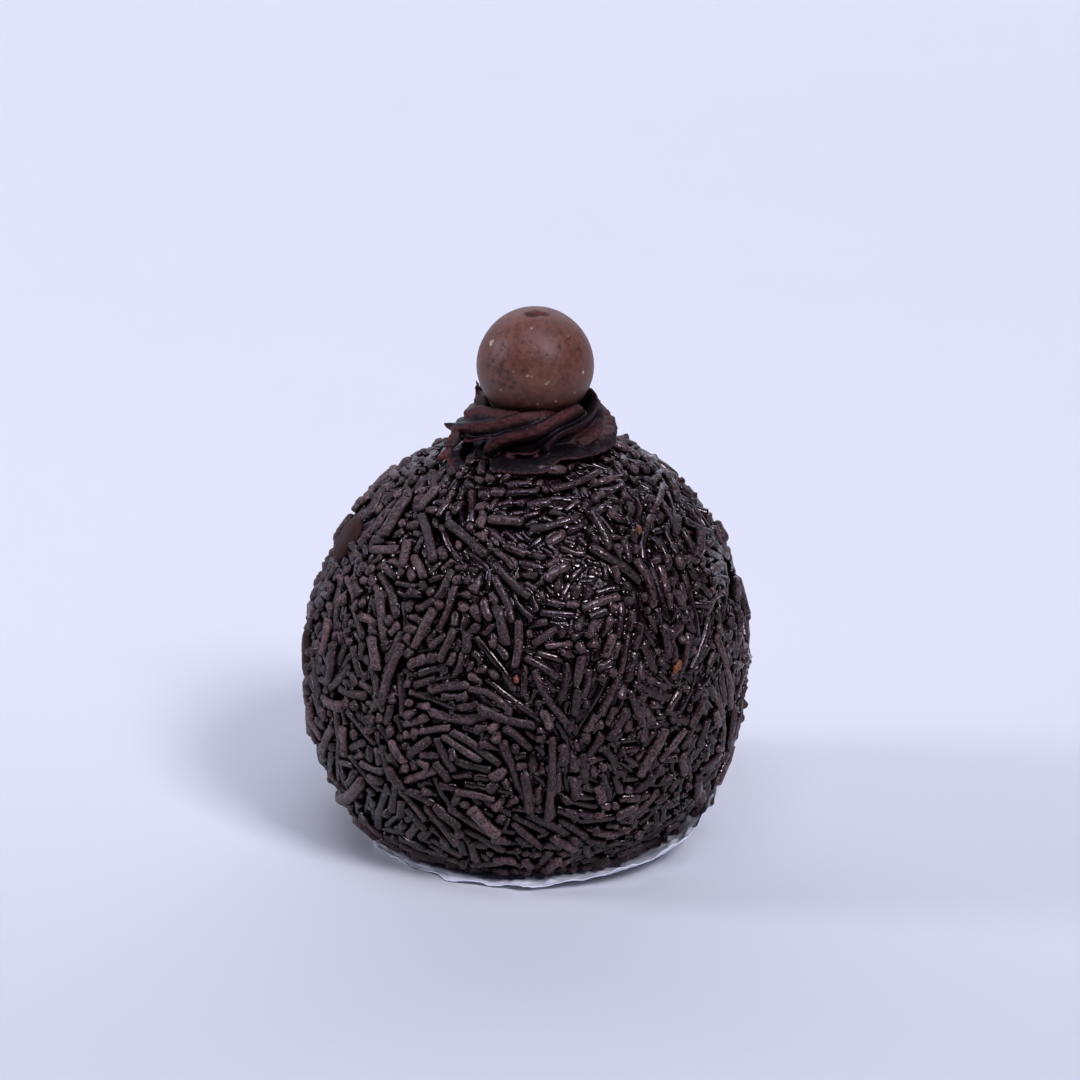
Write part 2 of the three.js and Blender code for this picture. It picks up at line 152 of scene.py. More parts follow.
def near_pairs(points: Array, reach: float) -> tuple[Array, Array]:
    """Finds the pairs of points that lie nearer to each other than reach.

    Args:
        points: Rows, one a row.
        reach: The largest distance.

    Returns:
        The first and the second index of each pair.
    """
    cells = np.floor(points / reach).astype(np.int64)
    cells -= cells.min(0) - 1
    span = cells.max(0) + 2
    stride = np.array([span[1] * span[2], span[2], 1])
    key = cells @ stride
    order = np.argsort(key, kind="stable")
    ranked = key[order]
    steps = [step for step in product((-1, 0, 1), repeat=3) if step >= (0, 0, 0)]
    firsts, seconds = [], []
    for step in steps:
        wanted = key + np.array(step) @ stride
        low = np.searchsorted(ranked, wanted, "left")
        count = np.searchsorted(ranked, wanted, "right") - low
        first = np.repeat(np.arange(len(points)), count)
        place = np.arange(count.sum()) - np.repeat(np.cumsum(count) - count, count)
        second = order[place + np.repeat(low, count)]
        keep = first < second if step == (0, 0, 0) else slice(None)
        firsts.append(first[keep])
        seconds.append(second[keep])
    first, second = np.concatenate(firsts), np.concatenate(seconds)
    close = np.linalg.norm(points[first] - points[second], axis=1) < reach
    return first[close], second[close]


# ---- meshes


def vertices_of(mesh: Mesh) -> Array:
    """Returns the mesh's vertices in millimetres, one a row."""
    flat = np.empty(3 * len(mesh.vertices), np.float32)
    mesh.vertices.foreach_get("co", flat)
    return flat.reshape(-1, 3).astype(float) / MM


def normals_of(mesh: Mesh) -> Array:
    """Returns the mesh's vertex normals, one a row."""
    flat = np.empty(3 * len(mesh.vertices), np.float32)
    mesh.vertex_normals.foreach_get("vector", flat)
    return flat.reshape(-1, 3).astype(float)


def move_vertices(mesh: Mesh, points: Array) -> None:
    """Moves the mesh's vertices to points in millimetres."""
    mesh.vertices.foreach_set("co", (points * MM).astype(np.float32).ravel())
    mesh.update()


def paint(mesh: Mesh, **layers: Array) -> None:
    """Stores named numbers for each vertex, which a material can read."""
    for name, values in layers.items():
        layer = mesh.attributes.new(name, "FLOAT", "POINT")
        layer.data.foreach_set("value", values.astype(np.float32))


def object_from(name: str, bm: BMesh) -> Piece:
    """Turns a bmesh in metres into a smooth object of that name, and frees the bmesh."""
    mesh = bpy.data.meshes.new(name)
    bm.to_mesh(mesh)
    bm.free()
    return placed(name, mesh)


def placed(name: str, mesh: Mesh) -> Piece:
    """Links a mesh to the scene as a smooth object."""
    mesh.shade_smooth()
    piece = bpy.data.objects.new(name, mesh)
    bpy.context.scene.collection.objects.link(piece)
    return piece


def apply_modifiers(piece: Piece) -> None:
    """Makes the result of the piece's modifiers its mesh."""
    graph = bpy.context.evaluated_depsgraph_get()
    result = bpy.data.meshes.new_from_object(piece.evaluated_get(graph))
    old = piece.data
    piece.modifiers.clear()
    piece.data = result
    bpy.data.meshes.remove(old)
    piece.data.shade_smooth()


def revolve(bm: BMesh, geometry: list, steps: int, centre_x: float = 0.0) -> None:
    """Spins vertices and edges once round the upright axis at centre_x, and closes the seam."""
    bmesh.ops.spin(
        bm, geom=geometry, cent=(centre_x, 0, 0), axis=(0, 0, 1), dvec=(0, 0, 0),
        angle=TAU, steps=steps, use_merge=True, use_duplicate=False,
    )


def add_ring(bm: BMesh, sides: int, matrix: Matrix, radius: float = 1.0) -> tuple[list, list]:
    """Adds a circle, moved from round the origin by the matrix, and returns its vertices and edges."""
    verts = bmesh.ops.create_circle(bm, segments=sides, radius=radius, matrix=matrix)["verts"]
    return verts, list(dict.fromkeys(edge for vert in verts for edge in vert.link_edges))


def skin(bm: BMesh, rings: Sequence[tuple[list, list]]) -> None:
    """Joins rings of vertices and edges into a tube and closes both its ends."""
    for (_, lower), (_, upper) in zip(rings, rings[1:]):
        bmesh.ops.bridge_loops(bm, edges=[*lower, *upper])
    for verts, _ in (rings[0], rings[-1]):
        bmesh.ops.contextual_create(bm, geom=verts)


def ball_of(name: str, subdivisions: int) -> Piece:
    """Returns a finely and evenly divided ball of radius 1 m, to be given its form."""
    bm = bmesh.new()
    bmesh.ops.create_icosphere(bm, subdivisions=subdivisions, radius=1.0)
    return object_from(name, bm)


def ruffle(piece: Piece, height: float, noise: Noise, layers: int) -> None:
    """Moves a piece's vertices in and out by layers of noise of that height in mm."""
    points = vertices_of(piece.data)
    points += normals_of(piece.data) * (height * noise.layered(points, layers))[:, None]
    move_vertices(piece.data, points)


class Template:
    """A small closed shape that is copied many times into one mesh."""

    def __init__(self, bm: BMesh) -> None:
        """Reads the shape from a bmesh, in any unit, and frees it."""
        bm.verts.ensure_lookup_table()
        self.points: Array = np.array([vert.co for vert in bm.verts])
        self.loops: Array = np.array([vert.index for face in bm.faces for vert in face.verts])
        self.sides: Array = np.array([len(face.verts) for face in bm.faces])
        bm.free()

    def repeat(self, name: str, copies: Array) -> Piece:
        """Joins moved copies of the shape into one object.

        Args:
            name: The piece's name.
            copies: The vertices of each copy in mm, as (copy, vertex, 3).

        Returns:
            The new object.
        """
        count = len(copies)
        mesh = bpy.data.meshes.new(name)
        mesh.vertices.add(count * len(self.points))
        mesh.vertices.foreach_set("co", (copies * MM).astype(np.float32).ravel())
        shift = np.arange(count)[:, None] * len(self.points)
        loops = (self.loops[None] + shift).ravel()
        mesh.loops.add(len(loops))
        mesh.loops.foreach_set("vertex_index", loops.astype(np.int32))
        sides = np.tile(self.sides, count)
        mesh.polygons.add(len(sides))
        mesh.polygons.foreach_set("loop_start", (np.cumsum(sides) - sides).astype(np.int32))
        mesh.update(calc_edges=True)
        mesh.validate()
        return placed(name, mesh)

    def spread(self, values: Array) -> Array:
        """Returns the values of the copies, one for each vertex of the joined mesh."""
        return np.repeat(values, len(self.points))


# ---- materials

Number = Union[float, "Wire"]


def arithmetic(operation: str, swapped: bool = False) -> Callable[["Wire", Number], "Wire"]:
    """Makes one of a wire's operators.

    Args:
        operation: What its Math node does.
        swapped: Whether the other value comes first.

    Returns:
        The operator.
    """

    def operator(self: "Wire", other: Number) -> "Wire":
        """Returns the result of the operation with another value."""
        return self.math(operation, *((other, self) if swapped else (self, other)))

    return operator


class Wire:
    """A number on its way through a material's nodes, with the usual arithmetic."""

    def __init__(self, recipe: "Recipe", socket: Socket) -> None:
        """Wraps an output socket of one of the recipe's nodes."""
        self.recipe = recipe
        self.socket = socket

    def math(self, operation: str, *values: Number, clamp: bool = False) -> "Wire":
        """Adds a Math node over the values and returns its result."""
        settings = {"operation": operation, "use_clamp": clamp}
        node = self.recipe.node("ShaderNodeMath", settings, dict(enumerate(values)))
        return Wire(self.recipe, node.outputs[0])

    __add__ = __radd__ = arithmetic("ADD")
    __sub__ = arithmetic("SUBTRACT")
    __rsub__ = arithmetic("SUBTRACT", swapped=True)
    __mul__ = __rmul__ = arithmetic("MULTIPLY")
    __pow__ = arithmetic("POWER")

    def step(self, low: float, high: float) -> "Wire":
        """Returns a soft step from 0 at low to 1 at high."""
        settings = {"interpolation_type": "SMOOTHSTEP"}
        inputs = {"Value": self, "From Min": low, "From Max": high}
        return Wire(self.recipe, self.recipe.node("ShaderNodeMapRange", settings, inputs).outputs[0])

    def clamped(self) -> "Wire":
        """Returns the number held between 0 and 1."""
        return self.math("ADD", self, 0.0, clamp=True)


Colour = Triple
Tint = tuple[float, float, float, float]


@dataclass(frozen=True)
class Grain:
    """A soft random pattern in a material.

    Attributes:
        size: Of its features in mm.
        layers: Number of ever finer layers.
        rough: Strength of each layer, as a share of the one before.
    """

    size: float
    layers: float = 2.0
    rough: float = 0.5


class Recipe:
    """One material while its nodes are put together."""

    def __init__(self, name: str) -> None:
        """Starts an empty material of that name."""
        self.material = bpy.data.materials.new(name)
        self.material.use_nodes = True
        self.tree = self.material.node_tree
        self.shader = self.tree.nodes["Principled BSDF"]
        self.place = self.node("ShaderNodeTexCoord").outputs["Object"]

    def node(self, kind: str, settings: dict = {}, inputs: dict = {}) -> bpy.types.Node:
        """Adds a node.

        Args:
            kind: The node's type.
            settings: Its own properties, set first.
            inputs: Values, sockets or wires, by the input's name or number.

        Returns:
            The node.
        """
        made = self.tree.nodes.new(kind)
        for name, value in settings.items():
            setattr(made, name, value)
        for name, value in inputs.items():
            self.connect(value, made.inputs[name])
        return made

    def connect(self, value: object, socket: Socket) -> None:
        """Gives a socket its value, or links it to a wire or to another socket."""
        if isinstance(value, Wire):
            value = value.socket
        if isinstance(value, Socket):
            self.tree.links.new(value, socket)
        elif isinstance(value, tuple) and len(value) == 3 and socket.type == "RGBA":
            socket.default_value = (*value, 1.0)
        else:
            socket.default_value = value

    def noise(self, grain: Grain) -> Wire:
        """Returns noise from 0 to 1 over the piece."""
        scale = 1 / (grain.size * MM)
        inputs = {"Vector": self.place, "Scale": scale, "Detail": grain.layers, "Roughness": grain.rough}
        return Wire(self, self.node("ShaderNodeTexNoise", {}, inputs).outputs["Fac"])

    def creases(self, size: float) -> Wire:
        """Returns the distance to the nearest of straight creases that part cells of that size in mm."""
        inputs = {"Vector": self.place, "Scale": 1 / (size * MM)}
        node = self.node("ShaderNodeTexVoronoi", {"feature": "DISTANCE_TO_EDGE"}, inputs)
        return Wire(self, node.outputs["Distance"])

    def attribute(self, name: str) -> Wire:
        """Returns a number that is stored on the piece's vertices."""
        node = self.node("ShaderNodeAttribute", {"attribute_name": name})
        return Wire(self, node.outputs["Fac"])

    def axes(self) -> tuple[Wire, Wire, Wire]:
        """Returns the place on the piece along X, Y and Z, in metres."""
        node = self.node("ShaderNodeSeparateXYZ", {}, {0: self.place})
        return tuple(Wire(self, output) for output in node.outputs)

    def mix(self, factor: Number, first: object, second: object) -> Socket:
        """Returns a colour between two others."""
        node = self.node("ShaderNodeMix", {"data_type": "RGBA"}, {0: factor, 6: first, 7: second})
        return node.outputs[2]

    def scaled(self, colour: object, factor: Number) -> Socket:
        """Returns the colour made darker or lighter."""
        grey = self.node("ShaderNodeCombineColor", {}, {0: factor, 1: factor, 2: factor}).outputs[0]
        settings = {"data_type": "RGBA", "blend_type": "MULTIPLY"}
        return self.node("ShaderNodeMix", settings, {0: 1.0, 6: colour, 7: grey}).outputs[2]

    def bump(self, height: Wire, depth: float, strength: float, over: object = None) -> object:
        """Returns a normal for relief.

        Args:
            height: The relief, from 0 to 1.
            depth: Its height in mm.
            strength: How strongly it shows.
            over: Another bump's normal, which this one lies on.

        Returns:
            The normal's socket.
        """
        inputs = {"Height": height, "Distance": depth * MM, "Strength": strength}
        if over is not None:
            inputs["Normal"] = over
        return self.node("ShaderNodeBump", {}, inputs).outputs[0]

    def dress(self, piece: Piece, **inputs: object) -> None:
        """Sets the shader's inputs, by name with _ for blanks, and gives the piece the material."""
        for name, value in inputs.items():
            self.connect(value, self.shader.inputs[name.replace("_", " ")])
        piece.data.materials.clear()
        piece.data.materials.append(self.material)


@dataclass(frozen=True)
class PlainFinish:
    """A finish of two colours that pass into each other, with relief of one or two sizes.

    Attributes:
        dark: The first colour.
        light: The second one.
        clouds: How the colours pass.
        matt: Where it is less smooth, if anywhere.
        rough: Roughness of its smoothest places.
        reliefs: Grain, depth in mm and strength of each relief, the coarsest first.
        gloss: The shader's inputs for reflections.
        duller: What the least smooth places add to the roughness.
    """

    dark: Colour
    light: Colour
    clouds: Grain
    matt: Optional[Grain]
    rough: float
    reliefs: tuple[tuple[Grain, float, float], ...]
    gloss: dict[str, object]
    duller: float = 0.2

    def dress(self, piece: Piece) -> None:
        """Gives the piece this finish."""
        recipe = Recipe(f"{piece.name}_finish")
        colour = recipe.mix(recipe.noise(self.clouds), self.dark, self.light)
        normal = None
        for grain, depth, strength in self.reliefs:
            normal = recipe.bump(recipe.noise(grain), depth, strength, normal)
        rough = self.rough if self.matt is None else self.rough + self.duller * recipe.noise(self.matt)
        recipe.dress(piece, Base_Color=colour, Roughness=rough, Normal=normal, **self.gloss)


def settled(piece: Piece) -> Piece:
    """Lets a piece ride on the sweet and reports it.

    Args:
        piece: The finished piece.

    Returns:
        The piece.
    """
    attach(piece, BODY)
    triangles = sum(len(face.vertices) - 2 for face in piece.data.polygons)
    log.info("%s: %d triangles", piece.name, triangles)
    return piece


# ---- the fudge


@dataclass(frozen=True)
class Fudge:
    """Form of the bare fudge ball, as the CAD model has it.

    Attributes:
        base_z: Height of its flat base.
        radius: At the widest level.
        widest_z: Height of the widest level.
        crown: From there to the top.
        sag_depth: Depth of the lower half, had it not been pressed flat.
        sag_power: Fullness of the lower half.
        base_edge: Sharpness of the edge round the base.
        lean: Drift to +X for each millimetre of height.
        lump_height: Height of the slow unevenness.
    """

    base_z: float = 0.6
    radius: float = 29.1
    widest_z: float = 24.2
    crown: float = 31.0
    sag_depth: float = 29.8
    sag_power: float = 2.4
    base_edge: float = 16.0
    lean: float = 0.03
    lump_height: float = 0.22

    def lump(self, way: Array) -> Array:
        """Returns the slow unevenness in each direction, from -1 to 1."""
        x, y, z = way.T
        first = np.sin(4.1 * x + 2.3 * y + 1.0)
        second = np.sin(3.7 * y - 4.4 * z + 2.0)
        third = np.sin(3.1 * x + 5.2 * z - 0.7)
        return (first + second + third) / 3

    def reach(self, way: Array) -> Array:
        """Returns the distance from the middle to the surface in each direction."""
        across = np.hypot(way[:, 0], way[:, 1])
        up = np.maximum(way[:, 2], 0)
        down = np.maximum(-way[:, 2], 0)
        crown = 1 / np.maximum(np.hypot(across / self.radius, up / self.crown), 1e-6)
        bulge = (across / self.radius) ** self.sag_power + (down / self.sag_depth) ** self.sag_power
        side = bulge ** (1 / self.sag_power)
        base = down / (self.widest_z - self.base_z)
        widest = np.maximum(side, base)
        ratio = np.minimum(side, base) / np.maximum(widest, 1e-9)
        sag = (1 + ratio**self.base_edge) ** (-1 / self.base_edge) / np.maximum(widest, 1e-9)
        evenness = np.clip(1 - down, 0, 1)
        return np.where(way[:, 2] >= 0, crown, sag) + self.lump_height * evenness * self.lump(way)

    def middle(self, points: Array) -> Array:
        """Returns the points as seen from the middle of the widest level, the lean undone."""
        moved = points - np.array([0, 0, self.widest_z])
        moved[:, 0] -= self.lean * moved[:, 2]
        return moved

    def surface(self, way: Array, grow: Union[float, Array] = 0.0) -> Array:
        """Returns the surface's points in the directions, moved outwards by grow."""
        points = way * (self.reach(way) + grow)[:, None]
        points[:, 0] += self.lean * points[:, 2]
        points[:, 2] += self.widest_z
        return points

    def height(self, points: Array) -> tuple[Array, Array]:
        """Measures points against the surface.

        Args:
            points: Places, one a row.

        Returns:
            The height above the surface and the outward normal there.
        """
        from_middle = self.middle(points)
        way = unit(from_middle)
        across = np.hypot(from_middle[:, 0], from_middle[:, 1])
        down = np.maximum(-from_middle[:, 2], 0)
        power = self.sag_power - 1
        slope = np.stack([
            np.where(down > 0, (across / self.radius) ** power, across / self.radius) / self.radius,
            np.where(
                down > 0,
                -((down / self.sag_depth) ** power) / self.sag_depth,
                from_middle[:, 2] / self.crown**2,
            ),
        ], axis=1)
        around = from_middle[:, :2] / np.maximum(across, 1e-6)[:, None]
        normal = unit(np.column_stack([around * slope[:, :1], slope[:, 1]]))
        rise = np.linalg.norm(from_middle, axis=1) - self.reach(way)
        return rise * np.sum(way * normal, axis=1), normal


FUDGE = Fudge()


def seat(place: Sequence[float], above: float) -> Matrix:
    """Finds where something lies on the fudge.

    Args:
        place: Azimuth and elevation of its middle, in degrees.
        above: Height of its middle above the bare fudge.

    Returns:
        The move from the origin to there, with Z turned outwards.
    """
    middle = FUDGE.surface(direction(*place), above)
    normal = Vector(FUDGE.height(middle)[1][0])
    turn = Vector((0, 0, 1)).rotation_difference(normal).to_matrix().to_4x4()
    return Matrix.Translation(Vector(middle[0]) * MM) @ turn


# ---- the paper


@dataclass(frozen=True)
class PaperForm:
    """Form of the paper round, as the CAD model has it.

    Attributes:
        thickness: Of the CAD solid.
        radius: Of the round.
        centre_x: Its place under the ball.
        flat_radius: Of the part pressed flat.
        pleats: Crinkles round the edge.
        pleat_depth: Their height at the cut edge.
        scallop: How far the cut edge wanders.
        curl_angle: Steepest rise of the edge.
        curl_azimuth: Where it rises most.
        curl_start: Share of that angle where the paper leaves the table.
        curl_spread: The higher, the narrower the curled side.
        curl_extra: Spare paper on the curled side.
    """

    thickness: float = 0.3
    radius: float = 24.4
    centre_x: float = 2.3
    flat_radius: float = 20.6
    pleats: int = 23
    pleat_depth: float = 0.45
    scallop: float = 0.5
    curl_angle: float = math.radians(45)
    curl_azimuth: float = math.radians(2)
    curl_start: float = 0.55
    curl_spread: float = 3.0
    curl_extra: float = 2.2

    def curl(self, azimuth: Array) -> Array:
        """Returns 1 where the edge curls up most, falling to 0 round the other sides."""
        return ((1 + np.cos(azimuth - self.curl_azimuth)) / 2) ** self.curl_spread

    def edge(self, azimuth: Array) -> Array:
        """Returns the cut edge's distance from the ball's axis, measured flat."""
        reach = np.sqrt(self.radius**2 - (self.centre_x * np.sin(azimuth)) ** 2)
        wander = np.sin(5 * azimuth + 0.6) + 0.8 * np.sin(11 * azimuth + 2.1)
        circle = self.centre_x * np.cos(azimuth) + reach
        return circle + self.curl_extra * self.curl(azimuth) + self.scallop / 1.8 * wander

    def rise(self, azimuth: Array, share: Array) -> Array:
        """Returns the angle at which the paper rises."""
        return self.curl_angle * self.curl(azimuth) * lerp(self.curl_start, 1, share)

    def keep_off(self, points: Array, radius: Array) -> Array:
        """Finds how far points have to move to lie clear above the paper.

        Args:
            points: Places, one a row.
            radius: Distance that each has to keep.

        Returns:
            The move of each point.
        """
        azimuth = np.arctan2(points[:, 1], points[:, 0])
        out = np.hypot(points[:, 0], points[:, 1]) - self.flat_radius
        angle = self.rise(azimuth, np.full(len(points), 0.5))
        above = points[:, 2] - self.thickness
        clear = np.where(out > 0, above * np.cos(angle) - out * np.sin(angle), above)
        push = np.maximum(radius - clear, 0)
        tilt = np.where(out > 0, angle, 0)
        inwards = -np.sin(tilt) * push
        return np.column_stack([inwards * np.cos(azimuth), inwards * np.sin(azimuth), np.cos(tilt) * push])


PAPER = PaperForm()


@dataclass(frozen=True)
class PaperFinish:
    """Thin white waxed paper with soft clouds, folds, fibres and grease marks."""

    shade: Colour = (0.83, 0.85, 0.95)
    white: Colour = (0.92, 0.93, 0.99)
    greasy: Colour = (0.64, 0.66, 0.76)
    clouds: Grain = Grain(5.0, 3, 0.6)
    marks: Grain = Grain(3.0)
    fibres: Grain = Grain(0.35, 4, 0.6)
    fold_distance: float = 3.2

    def dress(self, piece: Piece) -> None:
        """Gives the piece this finish."""
        recipe = Recipe("greaseproof_paper")
        fibres = recipe.noise(self.fibres)
        creases = recipe.creases(self.fold_distance).step(0.0, 0.09)
        grease = recipe.noise(self.marks).step(0.52, 0.66)
        white = recipe.mix(recipe.noise(self.clouds), self.shade, self.white)
        marked = recipe.mix(grease * 0.2, white, self.greasy)
        relief = recipe.bump(creases, 0.05, 0.5)
        grain = recipe.bump(fibres, 0.015, 0.35, relief)
        rough = 0.52 - 0.16 * grease + 0.12 * fibres
        recipe.dress(piece, Base_Color=marked, Roughness=rough, Normal=grain)


@dataclass
class PaperRound:
    """The thin greaseproof paper under the ball.

    Attributes:
        thickness: Of the real paper.
        lift: Height of its underside above the table where it lies flat.
        rings: Steps along the radius.
        sectors: Steps round it.
        rim_start: Share of the rings that lie under the ball.
        crease: Height of the fine creases.
        fray: How far the cut edge is frayed.
        corners: Pointed corners of the torn edge.
        stagger: How unevenly they stand, as a share of the way between two.
        jut: How far a corner may stand out or back.
        dip: How far the edge falls back between two corners.
        seed: Places the corners.
    """

    thickness: float = 0.09
    lift: float = 0.03
    rings: int = 34
    sectors: int = 360
    rim_start: float = 0.4
    crease: float = 0.32
    fray: float = 0.3
    corners: int = 16
    stagger: float = 0.32
    jut: float = 0.5
    dip: float = 1.0
    seed: int = 5

    def build(self) -> Piece:
        """Returns the sheet, spun as a flat disc, then crinkled and given its thickness."""
        bm = bmesh.new()
        spine = [bm.verts.new((ring / self.rings, 0, 0)) for ring in range(self.rings + 1)]
        edges = [bm.edges.new(pair) for pair in zip(spine, spine[1:])]
        revolve(bm, [*spine, *edges], self.sectors)
        bmesh.ops.remove_doubles(bm, verts=bm.verts, dist=1e-6)
        bmesh.ops.recalc_face_normals(bm, faces=bm.faces)
        piece = object_from("crinkled_paper", bm)
        flat = vertices_of(piece.data) * MM  # The disc has a radius of 1 m.
        move_vertices(piece.data, self.crinkled(flat))
        if piece.data.polygons[len(piece.data.polygons) // 2].normal.z < 0:
            piece.data.flip_normals()  # The thickness is added above the sheet.
        solid = piece.modifiers.new("thickness", "SOLIDIFY")
        solid.thickness = self.thickness * MM
        solid.offset = 1.0
        solid.use_even_offset = False
        apply_modifiers(piece)
        return piece

    def torn(self, azimuth: Array) -> Array:
        """Returns how far the edge stands out, falling back between its pointed corners."""
        random = np.random.default_rng(self.seed)
        count = self.corners
        turn = TAU * (np.arange(count) + random.uniform(-self.stagger, self.stagger, count)) / count
        reach = random.uniform(-self.jut, self.jut, count)
        around = [turn[-1] - TAU, *turn, turn[0] + TAU]
        place = np.interp(azimuth % TAU, around, np.arange(-1, count + 1))
        share = place % 1
        start = np.floor(place).astype(int) % count
        corner = lerp(reach[start], reach[(start + 1) % count], share)
        return corner + self.dip * (0.6 - 4 * share * (1 - share))

    def crinkled(self, flat: Array) -> Array:
        """Places the points of a flat disc of radius 1 on the crinkled sheet.

        Args:
            flat: Points of the disc, one a row.

        Returns:
            Their places in millimetres.
        """
        azimuth = np.arctan2(flat[:, 1], flat[:, 0])
        ring = np.hypot(flat[:, 0], flat[:, 1])
        share = np.clip((ring - self.rim_start) / (1 - self.rim_start), 0, 1)
        around = np.column_stack([np.cos(azimuth), np.sin(azimuth), np.zeros(len(flat))])
        fray = Noise(2.6, 41).layered(around * PAPER.radius, 4)
        edge = PAPER.edge(azimuth) + (self.torn(azimuth) + self.fray * fray) * share
        along = share * (edge - PAPER.flat_radius)
        rise = PAPER.rise(azimuth, share)
        pleat = 0.5 + 0.5 * np.sin(PAPER.pleats * azimuth + 1.4 * np.sin(3 * azimuth))
        radius = np.where(
            share > 0,
            PAPER.flat_radius + along * np.cos(rise),
            ring / self.rim_start * PAPER.flat_radius,
        )
        place = around * radius[:, None]
        fold = np.abs(Noise(3.4, 7).layered(place + around * 4 * share[:, None], 3))
        height = along * np.sin(rise) + PAPER.pleat_depth * pleat * share**2
        height += self.crease * fold * smooth(0, 0.5, share) * (1 + 2 * PAPER.curl(azimuth))
        place[:, 2] = self.lift + height
        return place

    def make(self) -> Piece:
        """Returns the dressed sheet in place of the CAD model's."""
        piece = self.build()
        PaperFinish().dress(piece)
        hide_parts("paper_round")
        return settled(piece)


@dataclass(frozen=True)
class WetSide:
    """Where syrup has run over the ball: the more, the further to the right and up.

    Attributes:
        lean: How much a step up counts against a step to the right.
        patch: Size of its patches in mm.
        wander: How far they shift its border, in mm.
    """

    lean: float = 0.35
    patch: float = 5.5
    wander: float = 17.0

    def reach(self, points: Array) -> Array:
        """Returns how far into the wet side each point lies, in mm."""
        return points[:, 0] + self.lean * points[:, 2] + self.wander * Noise(self.patch, 2)(points)

    def wetness(self, recipe: Recipe) -> Wire:
        """Returns the same for a material, from nearly 0 where it is dry to 1 where it is wettest."""
        x, _, z = recipe.axes()
        slope = (x + self.lean * z) * (1 / MM)
        patches = recipe.noise(Grain(self.patch))
        return ((slope + 2 * self.wander * (patches - 0.5)).step(-2.0, 26.0) * 0.92 + 0.04).clamped()


WET_SIDE = WetSide()


# ---- the sprinkles


@dataclass
class Rods:
    """A heap of straight or gently bowed rods.

    Attributes:
        centre: Middle of each rod.
        axis: Direction of each rod.
        length: Of each rod.
        radius: Of each rod.
        depth: Height above the bare fudge that its axis is pressed down to.
        bow: How far the middle stands proud of the ends, outwards from the ball.
        sway: The same, sideways.
    """

    centre: Array
    axis: Array
    length: Array
    radius: Array
    depth: Array
    bow: Array
    sway: Array

    def __len__(self) -> int:
        """Returns the number of rods."""
        return len(self.length)

    def pick(self, chosen: Array) -> "Rods":
        """Returns the chosen rods."""
        return Rods(*(values[chosen] for values in vars(self).values()))

    def joined(self, other: "Rods") -> "Rods":
        """Returns these rods and the other ones."""
        pairs = zip(vars(self).values(), vars(other).values())
        return Rods(*(np.concatenate(pair) for pair in pairs))

    def beads(self, spacing: float) -> tuple[Array, Array]:
        """Strings beads along each rod.

        Args:
            spacing: The most that lies between two beads.

        Returns:
            Each bead's rod, and its distance from the rod's middle.
        """
        half = np.maximum(self.length / 2 - self.radius, 0)
        count = np.ceil(2 * half / spacing).astype(int) + 1
        owner = np.repeat(np.arange(len(self)), count)
        number = np.arange(count.sum()) - np.repeat(np.cumsum(count) - count, count)
        share = number / np.maximum(count - 1, 1)[owner] - 0.5
        return owner, np.where(count[owner] > 1, 2 * half[owner] * share, 0.0)

    def near(self, owner: Array, beads: Array, reach: float) -> tuple[Array, Array]:
        """Returns the pairs of beads of two different rods that are nearer to each other than reach."""
        first, second = near_pairs(beads, reach)
        other = owner[first] != owner[second]
        return first[other], second[other]


def per_rod(owner: Array, values: Array, count: int) -> Array:
    """Returns the sum of vectors for each of count rods."""
    return np.column_stack([np.bincount(owner, values[:, axis], count) for axis in range(3)])


